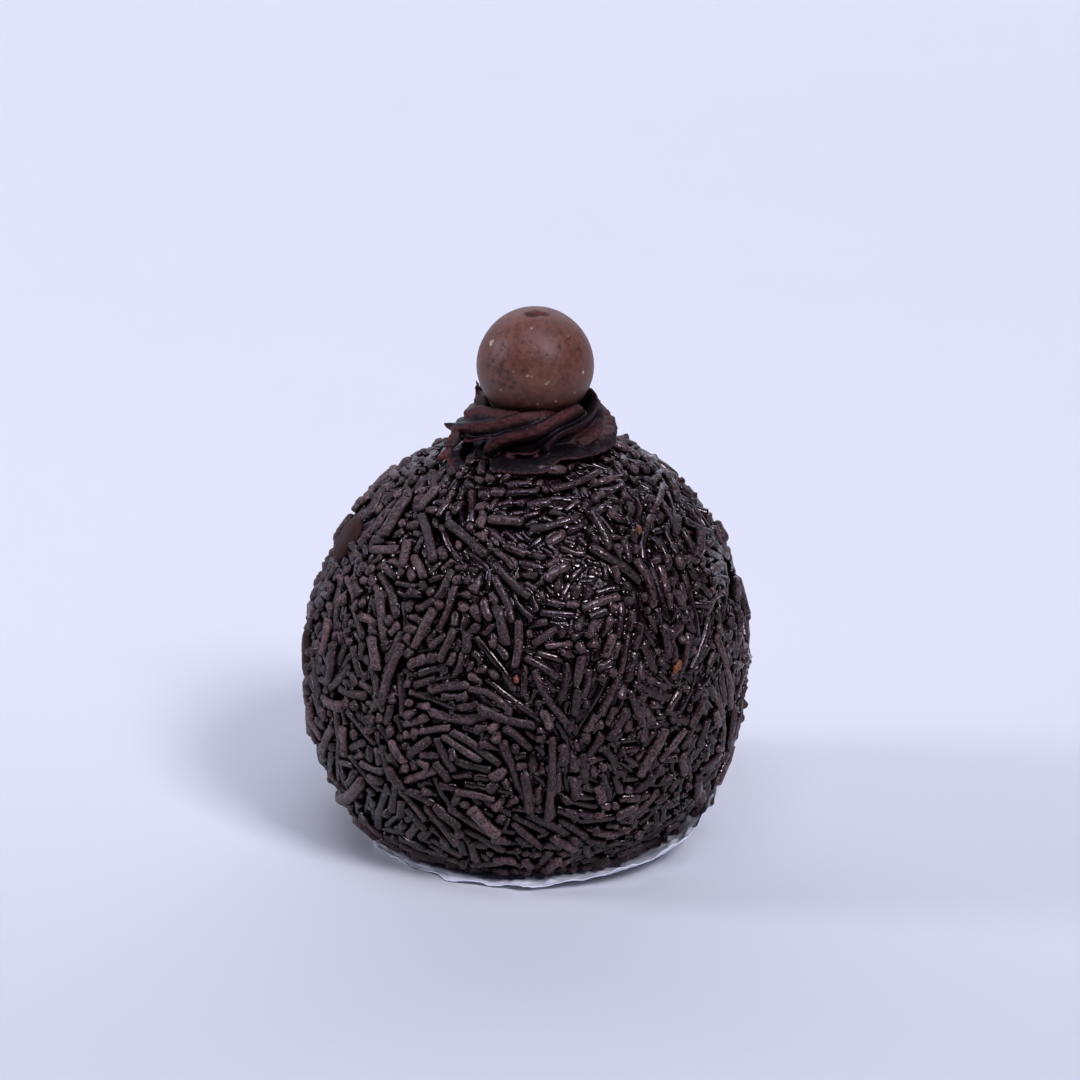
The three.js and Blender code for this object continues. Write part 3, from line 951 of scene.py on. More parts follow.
@dataclass
class SprinkleCoat:
    """All the sprinkles on the ball, packed by pushing them apart and onto the fudge.

    Attributes:
        spots: Places tried over the whole ball.
        radius: Middle value of a sprinkle's radius.
        length: Middle value of a sprinkle's length.
        spread: Spread of the lengths, as a share.
        shortest: Length of the shortest one.
        longest: Length of the longest one.
        depth: Height of a pressed-in sprinkle's axis above the bare fudge.
        proud: Height of the highest axes.
        closeness: Share of the full distance that two sprinkles keep.
        bead_spacing: Distance between the beads that stand for a rod.
        align: How strongly neighbours turn side by side.
        rise: Share of a bead's depth under its place that a round of pushing puts right.
        sink: The same for its height over its place.
        press: The same for its height over the highest axes.
        clearance: Kept from the paper and from the sides of the CAD model's box.
        rounds: Rounds of pushing.
        seed: Picks one of many like coats.
        sides: Of a sprinkle's section.
        foot: Radius inside which the ball stands on the paper.
        foot_sprinkles: Number of sprinkles that lie on the paper round it.
        foot_band: Least and greatest distance of those from the ball's axis.
        foot_lengths: Their least and greatest length.
        tries: Places tried for short ones in the gaps.
        gap: Distance that those keep from the axes of the others at first.
        gap_lengths: Their least and greatest length.
        tuck: How far under the rosette's foot a short, a strewn and a packed one may lie.
    """

    spots: int = 1120
    radius: float = 0.705
    length: float = 4.0
    spread: float = 0.44
    shortest: float = 1.9
    longest: float = 12.0
    depth: float = -0.15
    proud: float = 0.65
    closeness: float = 1.05
    bead_spacing: float = 0.95
    align: float = 0.028
    rise: float = 0.7
    sink: float = 0.12
    press: float = 0.4
    clearance: float = 0.02
    rounds: int = 130
    seed: int = 23
    sides: int = 7
    foot: float = 19.3
    foot_sprinkles: int = 64
    foot_band: Pair = (19.4, 20.9)
    foot_lengths: Pair = (2.2, 5.0)
    tries: int = 70000
    gap: float = 1.08
    gap_lengths: Pair = (1.5, 3.0)
    tuck: Triple = (0.3, 0.6, 0.9)

    def __post_init__(self) -> None:
        """Starts the coat's own random numbers."""
        self.random = np.random.default_rng(self.seed)

    def scattered(self) -> Rods:
        """Returns rods strewn evenly over the ball, lying in streams that change slowly."""
        index = np.arange(self.spots)
        up = 1 - (2 * index + 1) / self.spots
        across = np.sqrt(1 - up**2)
        azimuth = index * GOLDEN_ANGLE
        way = np.column_stack([across * np.cos(azimuth), across * np.sin(azimuth), up])
        way = unit(way + self.random.normal(0, 0.02, way.shape))
        centre = FUDGE.surface(way, self.random.uniform(self.depth, self.proud, self.spots))
        normal = FUDGE.height(centre)[1]
        stream = np.column_stack([Noise(8.0, seed)(centre) for seed in (3, 4, 5)])
        stream += 0.65 * self.random.normal(0, 1, stream.shape)
        axis = unit(stream - normal * np.sum(stream * normal, axis=1)[:, None])
        drawn = self.length * np.exp(self.random.normal(0, self.spread, self.spots))
        length = np.clip(drawn, self.shortest, self.longest)
        radius = self.radius * self.random.normal(1, 0.085, self.spots)
        depth = self.depth + self.random.normal(0, 0.3, self.spots)
        follow = self.random.uniform(0.3, 1.0, self.spots)
        bow = follow * length**2 / (8 * FUDGE.radius)
        sway = self.random.normal(0, 0.045, self.spots) * length
        rods = Rods(centre, axis, length, radius, depth, bow, sway)
        return rods.pick(self.free(rods, self.tuck[1])).joined(self.at_the_foot())

    def at_the_foot(self) -> Rods:
        """Returns the sprinkles that lie on the paper round the ball's foot."""
        count = self.foot_sprinkles
        azimuth = TAU * (np.arange(count) + self.random.uniform(-0.3, 0.3, count)) / count
        out = np.column_stack([np.cos(azimuth), np.sin(azimuth), np.zeros(count)])
        around = np.column_stack([-np.sin(azimuth), np.cos(azimuth), np.zeros(count)])
        centre = out * self.random.uniform(*self.foot_band, (count, 1))
        centre[:, 2] = PAPER.thickness + self.radius
        axis = unit(around + self.random.normal(0, 0.5, (count, 1)) * out)
        length = self.random.uniform(*self.foot_lengths, count)
        radius = self.radius * self.random.normal(1, 0.06, count)
        none = np.zeros(count)
        return Rods(centre, axis, length, radius, np.full(count, 0.6), none, none)

    def from_rosette(self, points: Array) -> tuple[Array, Array]:
        """Measures points against the rosette's foot.

        Args:
            points: Places, one a row.

        Returns:
            How far each lies inside the foot's outline, and the way out of it.
        """
        side = points[:, :2] - np.array([ROSETTE.centre_x, 0])
        distance = np.hypot(*side.T)
        inside = ROSETTE.footprint(np.arctan2(side[:, 1], side[:, 0])) - distance
        out = np.column_stack([side / np.maximum(distance, 1e-6)[:, None], np.zeros(len(side))])
        return np.where(points[:, 2] > FUDGE.widest_z, inside, -1.0), out

    def free(self, rods: Rods, margin: float) -> Array:
        """Tells which rods lie outside the rosette's foot and not under the ball."""
        height = rods.centre[:, 2]
        under = (height < 3 * self.radius) & (np.hypot(*rods.centre[:, :2].T) < self.foot)
        low = height < PAPER.thickness + 0.9 * rods.radius
        return (self.from_rosette(rods.centre)[0] < margin) & ~under & ~low

    def bent(self, rods: Rods, owner: Array, along: Array) -> Array:
        """Returns how far each bead stands off its rod's chord."""
        normal = FUDGE.height(rods.centre)[1]
        aside = unit(np.cross(normal, rods.axis))
        arch = 1 - (2 * along / rods.length[owner]) ** 2
        lift = normal * rods.bow[:, None] + aside * rods.sway[:, None]
        return lift[owner] * (arch - 0.67)[:, None]

    def settle(self, rods: Rods, rounds: int) -> Rods:
        """Pushes the rods apart and onto the fudge until they lie side by side.

        Args:
            rods: The rods.
            rounds: How often they are pushed.

        Returns:
            The same rods, moved.
        """
        owner, along = rods.beads(self.bead_spacing)
        total = len(rods)
        count = np.bincount(owner)[:, None]
        spread = np.bincount(owner, along**2)[:, None]
        radius = rods.radius[owner]
        depth = rods.depth[owner]
        box = np.abs(np.array(CAD_BOX)).min(0)[:2] / MM
        for _ in range(rounds):
            offset = self.bent(rods, owner, along)
            beads = rods.centre[owner] + rods.axis[owner] * along[:, None] + offset
            first, second = rods.near(owner, beads, 2.2 * self.radius)
            push = self.apart(beads, radius, first, second)
            height, normal = FUDGE.height(beads)
            over = height - depth
            push -= normal * (np.where(over < 0, self.rise, self.sink) * over)[:, None]
            push -= normal * (self.press * np.maximum(height - self.proud, 0))[:, None]
            inside, out = self.from_rosette(beads)
            push += out * np.clip(0.5 * (inside - 0.4), 0, 0.5)[:, None]
            push += PAPER.keep_off(beads, radius + self.clearance)
            limit = box[None] - radius[:, None] - 2.5 * self.clearance
            flat = beads[:, :2] + push[:, :2]
            push[:, :2] += np.clip(flat, -limit, limit) - flat
            moved = beads + push - offset
            rods.centre = per_rod(owner, moved, total) / count
            aim = per_rod(owner, (moved - rods.centre[owner]) * along[:, None], total)
            streams = self.streams(rods, owner[first], owner[second])
            rods.axis = unit(aim + spread * self.align * streams + 1e-3 * rods.axis)
        return rods

    def streams(self, rods: Rods, first: Array, second: Array) -> Array:
        """Returns the mean direction of each rod's neighbours."""
        sign = np.sign(np.sum(rods.axis[first] * rods.axis[second], axis=1))[:, None]
        total = per_rod(first, sign * rods.axis[second], len(rods))
        total += per_rod(second, sign * rods.axis[first], len(rods))
        count = np.bincount(first, minlength=len(rods)) + np.bincount(second, minlength=len(rods))
        return total / np.maximum(count, 1)[:, None]

    def apart(self, beads: Array, radius: Array, first: Array, second: Array) -> Array:
        """Parts beads that come too close.

        Args:
            beads: Their places.
            radius: Of each.
            first: One bead of each near pair.
            second: The other one.

        Returns:
            The push on each bead.
        """
        gap = beads[second] - beads[first]
        distance = np.maximum(np.linalg.norm(gap, axis=1), 1e-6)
        overlap = self.closeness * (radius[first] + radius[second]) - distance
        force = gap * (0.5 * np.maximum(overlap, 0) / distance)[:, None]
        total = per_rod(second, force, len(beads)) - per_rod(first, force, len(beads))
        touching = overlap > 0
        hits = np.bincount(first[touching], minlength=len(beads))
        hits += np.bincount(second[touching], minlength=len(beads))
        return total / np.maximum(hits * 0.45, 1)[:, None]

    def fillers(self, rods: Rods) -> Rods:
        """Returns short sprinkles, many of them on end, for the gaps that are left."""
        owner, along = rods.beads(0.5 * self.bead_spacing)
        taken = rods.centre[owner] + rods.axis[owner] * along[:, None]
        taken += self.bent(rods, owner, along)
        way = unit(self.random.normal(0, 1, (self.tries, 3)))
        spots = FUDGE.surface(way, np.full(len(way), self.depth))
        first, second = near_pairs(np.vstack([taken, spots]), self.gap)
        crossing = (first < len(taken)) != (second < len(taken))
        blocked = np.maximum(first[crossing], second[crossing])
        open_spots = np.setdiff1d(np.arange(len(spots)), blocked - len(taken))
        chosen: list[int] = []
        for spot in open_spots:
            near = np.linalg.norm(spots[chosen] - spots[spot], axis=1) if chosen else np.array([9.0])
            if near.min() > 1.2:
                chosen.append(int(spot))
        centre = spots[chosen]
        size = len(centre)
        normal = FUDGE.height(centre)[1]
        upright = self.random.uniform(0, 1, size) < 0.5
        lean = np.where(upright, 0.5, 3.0)[:, None]
        axis = unit(normal + lean * self.random.normal(0, 1, centre.shape))
        length = self.random.uniform(*self.gap_lengths, size)
        radius = self.radius * self.random.normal(0.92, 0.08, size)
        none = np.zeros(size)
        depth = self.random.normal(self.depth - 0.12, 0.1, size)
        rods = Rods(centre, axis, length, radius, depth, none, none)
        return rods.pick(self.free(rods, self.tuck[0]))

    def template(self) -> Template:
        """Returns one blunt sprinkle of radius 1, from -2 to 2, its ends beyond -1 and 1."""
        bm = bmesh.new()
        ends = ((1.0, 1.0), (1.62, 0.88), (2.0, 0.52))
        half = ((0.36, 1.0), *ends)
        profile = [(-level, girth) for level, girth in reversed(half)] + list(half)
        levels = [(Matrix.Translation((0, 0, level)), girth) for level, girth in profile]
        skin(bm, [add_ring(bm, self.sides, place, girth) for place, girth in levels])
        bmesh.ops.recalc_face_normals(bm, faces=bm.faces)
        return Template(bm)

    def shapes(self, template: Template, rods: Rods) -> Array:
        """Returns the vertices of every sprinkle, each a little irregular."""
        count = len(rods)
        normal = FUDGE.height(rods.centre)[1]
        normal = np.where(np.abs(np.sum(normal * rods.axis, 1))[:, None] > 0.97, [[1.0, 0, 0]], normal)
        aside = unit(np.cross(normal, rods.axis))
        above = np.cross(rods.axis, aside)
        points = template.points
        levels, ring = np.unique(np.round(points[:, 2], 3), return_inverse=True)
        level = np.clip(points[:, 2], -1, 1)[None]
        tip = ((np.abs(points[:, 2]) - np.abs(level[0])) * np.sign(points[:, 2]))[None]
        thick = rods.radius[:, None]
        blunt = self.random.uniform(0.4, 0.75, (count, 1)) * thick
        half = rods.length[:, None] / 2
        skew = self.random.normal(0, 0.2, (count, 2)) * thick
        slant = points[None, :, 0] * skew[:, :1] + points[None, :, 1] * skew[:, 1:]
        along = level * (half - blunt) + tip * blunt + slant * (np.abs(level) >= 1)
        arch = 1 - (along / half) ** 2 - 0.67
        flat = self.random.uniform(0.86, 1.1, (count, 1))
        girth = self.random.normal(1, 0.055, (count, len(levels)))[:, ring]
        girth = thick * (girth + self.random.normal(0, 0.045, (count, len(points))))
        kink = self.random.normal(0, 0.07, (count, len(levels)))[:, ring] * thick
        sideways = girth * points[None, :, 0] * flat + rods.sway[:, None] * arch + kink
        upwards = girth * points[None, :, 1] / np.sqrt(flat) + rods.bow[:, None] * arch
        shape = rods.centre[:, None] + rods.axis[:, None] * along[..., None]
        shape += aside[:, None] * sideways[..., None] + above[:, None] * upwards[..., None]
        low, high = np.array(CAD_BOX) / MM
        return np.clip(shape, low + self.clearance, high - self.clearance)

    def pack(self) -> Rods:
        """Returns all the sprinkles in their places."""
        rods = self.settle(self.scattered(), self.rounds)
        fillers = self.fillers(rods)
        log.info("sprinkles: %d lying, %d in the gaps", len(rods), len(fillers))
        rods = self.settle(rods.joined(fillers), self.rounds // 4)
        clear = self.free(rods, self.tuck[2]) & self.uncrossed(rods)
        return rods.pick(clear & Buttons().clear(rods.centre))

    def uncrossed(self, rods: Rods) -> Array:
        """Tells which rods don't reach in over the rosette's foot."""
        owner, along = rods.beads(self.bead_spacing)
        beads = rods.centre[owner] + rods.axis[owner] * along[:, None]
        crossing = self.from_rosette(beads)[0] > self.tuck[2]
        return np.bincount(owner, crossing, len(rods)) == 0


@dataclass(frozen=True)
class SprinkleFinish:
    """Dull dark chocolate with a fine grain and pale specks painted as glints, shiny where syrup has run
    over it.

    Up to the height sunk above the bare fudge the flanks are painted near black, as painted shade, and are
    syrupy and shiny; from the height bare on they are dry.
    """

    dark: Colour = (0.0140, 0.0052, 0.0050)
    light: Colour = (0.1040, 0.0570, 0.0520)
    reddish: Colour = (0.095, 0.028, 0.017)
    # Painted highlight: colour of the pale specks that stand for glints.
    glint_speck: Colour = (0.320, 0.250, 0.230)
    # Painted shade: the near-black colour of the low flanks, which also stands for the dark syrup there.
    syrup: Colour = (0.0034, 0.0007, 0.0007)
    sunk: float = 0.2
    bare: float = 0.68
    coarse: Grain = Grain(0.5, 2, 0.6)
    fine: Grain = Grain(0.24, 2, 0.6)
    smears: Grain = Grain(1.3, 3, 0.6)
    shine: float = 0.5
    tint: Tint = (1.0, 0.84, 0.9, 1.0)

    def dress(self, piece: Piece) -> None:
        """Gives the piece this finish."""
        recipe = Recipe(f"{piece.name}_finish")
        tone = recipe.attribute("tone")
        grain = recipe.noise(self.coarse)
        fine = recipe.noise(self.fine)
        smear = recipe.noise(self.smears)
        wet = WET_SIDE.wetness(recipe)
        brown = recipe.mix((tone + 0.9 * (smear - 0.5)).clamped() ** 1.25, self.dark, self.light)
        base = recipe.mix(tone.step(0.90, 1.5), brown, self.reddish)
        speckled = recipe.scaled(base, 0.25 + 1.4 * (grain * 0.6 + fine * 0.4).step(0.38, 0.60))
        # Painted highlight: pale specks in the fine grain stand for the glints of its tiny facets.
        glint_specks = fine.step(0.58, 0.68) * (1 - 0.5 * wet) * 0.55
        glint_specked = recipe.mix(glint_specks.clamped(), speckled, self.glint_speck)
        # Painted shade: by their height above the bare fudge, the low flanks turn to the near-black syrup
        # colour.
        top = recipe.attribute("height") + 0.3 * (smear - 0.5)
        bare = top.step(self.sunk, self.bare)
        colour = recipe.mix((bare * (1 - 0.3 * wet)).clamped(), self.syrup, glint_specked)
        film = (0.3 + 0.8 * wet) * smear.step(0.40, 0.58)
        gloss = (film + (1 - bare) * (0.65 + 0.5 * wet)).clamped()
        rough = (0.62 - 0.5 * (grain - 0.5)) * (1 - gloss) + 0.13 * gloss
        relief = recipe.bump((grain - 0.5) * (1 - 0.86 * gloss), 0.28, 1.0)
        pitted = recipe.bump((fine - 0.5) * (1 - 0.9 * gloss), 0.12, 1.0, relief)
        recipe.dress(
            piece, Base_Color=colour, Roughness=rough, Normal=pitted,
            Specular_IOR_Level=self.shine, Specular_Tint=self.tint,
        )


FUDGE_FINISH = PlainFinish(
    dark=(0.0024, 0.0006, 0.0005), light=(0.009, 0.0030, 0.0024), clouds=Grain(0.9, 3, 0.6),
    matt=Grain(2.4), rough=0.08, reliefs=((Grain(0.9, 3, 0.6), 0.16, 1.0), (Grain(0.45), 0.10, 1.0)),
    gloss={"Specular IOR Level": 0.42, "Specular Tint": (1.0, 0.78, 0.85, 1.0)},
)


@dataclass
class FudgeBall:
    """The sticky fudge between and under the sprinkles, with syrup standing in the gaps.

    Attributes:
        dry: Depth of its surface inside the bare fudge on the dry side.
        wet: The same where syrup fills the gaps.
        ripple: Height of its unevenness.
        detail: Subdivisions of the ball.
    """

    dry: float = 0.95
    wet: float = 0.35
    ripple: float = 0.2
    detail: int = 7

    def build(self) -> Piece:
        """Returns the fudge as a ball with a flat base and an uneven surface."""
        piece = ball_of("fudge_ball", self.detail)
        way = unit(vertices_of(piece.data))
        points = FUDGE.surface(way)
        depth = lerp(self.dry, self.wet, smooth(-2, 24, WET_SIDE.reach(points)))
        uneven = Noise(2.0, 12).layered(points, 3)
        points = FUDGE.surface(way, self.ripple * uneven - depth)
        points[:, 2] = np.maximum(points[:, 2], PAPER.thickness)
        move_vertices(piece.data, points)
        return piece

    def make(self) -> Piece:
        """Returns the dressed fudge in place of the CAD model's sprinkled ball."""
        piece = self.build()
        FUDGE_FINISH.dress(piece)
        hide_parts("sprinkled_ball")
        return settled(piece)


BUTTON_FINISH = PlainFinish(
    dark=(0.026, 0.0100, 0.0080), light=(0.044, 0.0180, 0.0145), clouds=Grain(1.4, 3, 0.6),
    matt=Grain(1.4, 3, 0.6), rough=0.48, reliefs=((Grain(0.3, 3, 0.6), 0.03, 0.5),),
    gloss={"Specular IOR Level": 0.08},
)


@dataclass
class Buttons:
    """Flat chocolate buttons stuck among the sprinkles of the left flank.

    Attributes:
        radius: Of a button.
        thickness: Of a button.
        edge: Roundness of its edge, from 0, upright, to 1, as a lens.
        lift: Height of its top above the bare fudge.
        grain: Height of its unevenness.
        sectors: Steps round it.
        rings: Steps from top to bottom.
        places: Azimuth and elevation of each, in degrees.
    """

    radius: float = 3.5
    thickness: float = 2.0
    edge: float = 0.45
    lift: float = 1.0
    grain: float = 0.05
    sectors: int = 64
    rings: int = 32
    places: tuple[Pair, ...] = ((187.0, 35.0), (184.0, 1.0))

    def clear(self, points: Array) -> Array:
        """Tells which points lie clear of the buttons."""
        free = np.ones(len(points), bool)
        for place in self.places:
            middle = FUDGE.surface(direction(*place))
            free &= np.linalg.norm(points - middle, axis=1) > self.radius
        return free

    def build(self) -> Piece:
        """Returns both buttons as one piece of domed discs with round edges."""
        bm = bmesh.new()
        squash = Matrix.Diagonal((self.radius * MM, self.radius * MM, self.thickness / 2 * MM, 1))
        for place in self.places:
            lain = seat(place, self.lift - self.thickness / 2)
            made = bmesh.ops.create_uvsphere(bm, u_segments=self.sectors, v_segments=self.rings, radius=1.0)
            for vert in made["verts"]:
                across = math.hypot(vert.co.x, vert.co.y)
                fuller = across**self.edge / max(across, 1e-6)
                vert.co.x *= fuller
                vert.co.y *= fuller
                vert.co = lain @ squash @ vert.co
        piece = object_from("chocolate_buttons", bm)
        ruffle(piece, self.grain, Noise(0.9, 8), 3)
        return piece

    def make(self) -> Piece:
        """Returns the dressed buttons."""
        piece = self.build()
        BUTTON_FINISH.dress(piece)
        return settled(piece)


CARAMEL_FINISH = PlainFinish(
    dark=(0.095, 0.020, 0.006), light=(0.24, 0.060, 0.019), clouds=Grain(0.4),
    matt=Grain(0.5), rough=0.45, reliefs=((Grain(0.3, 3, 0.6), 0.05, 0.6),), gloss={},
)


@dataclass
class Flecks:
    """Crumbs of caramel caught among the sprinkles.

    Attributes:
        size: Half the length of the largest one.
        slim: Width and thickness, as shares of the length.
        lift: Height of their middles above the bare fudge.
        grain: Height of their unevenness.
        detail: Subdivisions of a crumb.
        places: Azimuth and elevation of each in degrees, and its share of the size.
    """

    size: float = 0.95
    slim: Pair = (0.45, 0.34)
    lift: float = 0.62
    grain: float = 0.24
    detail: int = 4
    places: tuple[Triple, ...] = (
        (310.5, 46.5, 0.8), (311.0, 11.5, 1.0), (267.0, 13.5, 0.42),
    )

    def make(self) -> Piece:
        """Returns the crumbs as one dressed piece."""
        bm = bmesh.new()
        wide, thick = self.slim
        for *place, share in self.places:
            half = self.size * share * MM
            scale = Matrix.Diagonal((wide * half, half, thick * half, 1))
            matrix = seat(place, self.lift) @ scale
            bmesh.ops.create_icosphere(bm, subdivisions=self.detail, radius=1.0, matrix=matrix)
        piece = object_from("caramel_flecks", bm)
        ruffle(piece, self.grain, Noise(0.5, 21), 2)
        CARAMEL_FINISH.dress(piece)
        return settled(piece)


@dataclass
class SprinklePieces:
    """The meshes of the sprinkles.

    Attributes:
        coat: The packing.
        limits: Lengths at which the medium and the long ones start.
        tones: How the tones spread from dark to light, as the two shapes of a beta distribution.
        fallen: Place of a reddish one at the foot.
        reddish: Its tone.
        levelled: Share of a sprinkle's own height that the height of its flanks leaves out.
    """

    coat: SprinkleCoat
    limits: Pair = (2.8, 5.0)
    tones: Pair = (1.0, 1.45)
    fallen: Triple = (1.3, -21.2, 1.5)
    # levelled: Share of a sprinkle's own height that the height of its flanks leaves out; that height sets
    # the painted shade of the low flanks.
    reddish: float = 1.5
    levelled: float = 0.45

    def make(self) -> Rods:
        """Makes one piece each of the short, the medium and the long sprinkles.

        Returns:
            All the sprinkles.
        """
        rods = self.coat.pack()
        template = self.coat.template()
        shapes = self.coat.shapes(template, rods)
        tone = self.coat.random.beta(*self.tones, len(rods))
        away = np.linalg.norm(rods.centre - np.array(self.fallen), axis=1)
        tone[np.argmin(away)] = self.reddish
        finish = SprinkleFinish()
        kind = np.digitize(rods.length, self.limits)
        for number, size in enumerate(("short", "medium", "long")):
            chosen = kind == number
            piece = template.repeat(f"{size}_sprinkles", shapes[chosen])
            # The height of the flanks, painted on the vertices, tells the finish where to paint shade on
            # the low flanks.
            sunk = template.spread(FUDGE.height(rods.centre[chosen])[0])
            height = FUDGE.height(shapes[chosen].reshape(-1, 3))[0]
            paint(piece.data, tone=template.spread(tone[chosen]), height=height - self.levelled * sunk)
            finish.dress(piece)
            settled(piece)
        return rods


SYRUP_FINISH = PlainFinish(
    dark=(0.004, 0.0014, 0.0010), light=(0.012, 0.0045, 0.0030), clouds=Grain(0.8),
    matt=None, rough=0.09, reliefs=((Grain(0.6), 0.05, 0.5),),
    gloss={"IOR": 1.65, "Specular Tint": (1.0, 0.8, 0.84, 1.0)},
)


@dataclass
class SyrupBeads:
    """Streaks or drops of syrup caught along the sprinkles, most of them on the wet side.

    Attributes:
        name: Of the piece.
        longest: Largest length of one, in its widths.
        seed: Picks them.
        most: Their largest number.
        lowest: Height above the table under which there are none.
        half_width: Least and greatest half of their width.
        thick: Their thickness, as a share of their width.
        lift: Least and greatest height above the middle of the two sprinkles that hold one.
        lean: Way in which their flat tops lean, as syrup that runs down the front does.
        tilt: Disorder of that way.
        bend: How far their ends turn aside, in their widths.
        detail: Subdivisions of one.
    """

    name: str
    longest: float
    seed: int
    most: int = 2200
    lowest: float = 3.0
    half_width: Pair = (0.14, 0.38)
    thick: float = 0.35
    lift: Pair = (0.22, 0.62)
    lean: Triple = (0.13, -0.48, 0.34)
    tilt: float = 0.55
    bend: float = 0.35
    detail: int = 2

    def share(self, points: Array) -> Array:
        """Returns the share of places that hold syrup, at each point."""
        sideways = 0.25 + 0.75 * smooth(-4, 24, WET_SIDE.reach(points))
        return sideways * (0.35 + 0.65 * smooth(8, 30, points[:, 2]))

    def make(self, coat: SprinkleCoat, rods: Rods) -> Piece:
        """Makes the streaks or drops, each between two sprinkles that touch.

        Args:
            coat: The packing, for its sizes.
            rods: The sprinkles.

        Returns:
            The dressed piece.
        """
        random = np.random.default_rng(self.seed)
        owner, along = rods.beads(coat.bead_spacing)
        beads = rods.centre[owner] + rods.axis[owner] * along[:, None]
        first, second = rods.near(owner, beads, 2.3 * coat.radius)
        middle = (beads[first] + beads[second]) / 2
        normal = FUDGE.height(middle)[1]
        wanted = (random.uniform(0, 1, len(middle)) < self.share(middle)) & (middle[:, 2] > self.lowest)
        index = random.permutation(np.flatnonzero(wanted))[: self.most]
        spot, out = middle[index], normal[index]
        axis = rods.axis[owner[first[index]]]
        axis = unit(axis - out * np.sum(axis * out, axis=1)[:, None] + 1e-6)
        across = unit(np.cross(out, axis))
        bm = bmesh.new()
        bmesh.ops.create_icosphere(bm, subdivisions=self.detail, radius=1.0)
        template = Template(bm)
        count = (len(index), 1, 1)
        width = random.uniform(*self.half_width, count)
        length = width * random.uniform(1.0, self.longest, count)
        x, y, z = (template.points[None, :, way, None] for way in range(3))
        bend = random.normal(0, self.bend, count) * width * x**2
        lift = random.uniform(*self.lift, (len(index), 1))
        tilt = unit(out + np.array(self.lean) + random.normal(0, self.tilt, out.shape))
        shapes = (spot + out * lift)[:, None] + x * length * axis[:, None]
        shapes += (y * width + bend) * across[:, None] + self.thick * z * width * tilt[:, None]
        piece = template.repeat(self.name, shapes)
        SYRUP_FINISH.dress(piece)
        return settled(piece)


# ---- the ganache


class Course(Enum):
    """How a line runs through its stations."""

    PIPED = "in one smooth curve"
    TORN = "in straight bits"


@dataclass(frozen=True)
class Trail:
    """The crest line of a ridge or of a thin sheet of ganache, wound round the rope.

    Attributes:
        stations: Points that it passes: azimuth and section angle in degrees, and the distance
            from the rope's middle. A section angle of 0 faces out and 90 up.
        above: Width of the flank above a ridge's crest, or half the thickness of a sheet.
        below: Width of a ridge's flank below its crest.
        keen: From 0, a fat round tooth, to 1, a thin blade.
        depth: Of a sheet, from its edge towards the rope's middle.
        course: How it runs through the stations.
    """

    stations: tuple[Triple, ...]
    above: float = 0.25
    below: float = 2.0
    keen: float = 0.0
    depth: float = math.inf
    course: Course = Course.PIPED

    def line(self, count: int) -> Array:
        """Returns count points of the line, evenly along its stations."""
        knots = np.array(self.stations)
        place = np.linspace(0, len(knots) - 1, count)
        index = np.minimum(place.astype(int), len(knots) - 2)
        share = (place - index)[:, None]
        start, end = knots[index], knots[index + 1]
        if self.course is Course.TORN:
            return lerp(start, end, share)
        before = knots[np.maximum(index - 1, 0)]
        after = knots[np.minimum(index + 2, len(knots) - 1)]
        bend = (end - before) * share + (2 * before - 5 * start + 4 * end - after) * share**2
        return start + 0.5 * (bend + (3 * start - before - 3 * end + after) * share**3)


def back_ridge(start: float) -> Trail:
    """Returns one of the even ridges of the far side, which starts at that azimuth."""
    climb = ((0, -38, 4.2), (11, -14, 4.6), (29, 7, 4.5), (54, 29, 4.3), (84, 55, 4.2), (118, 84, 3.8))
    return Trail(tuple((start + turn, section, reach) for turn, section, reach in climb), 1.2, 1.9, 0.15)


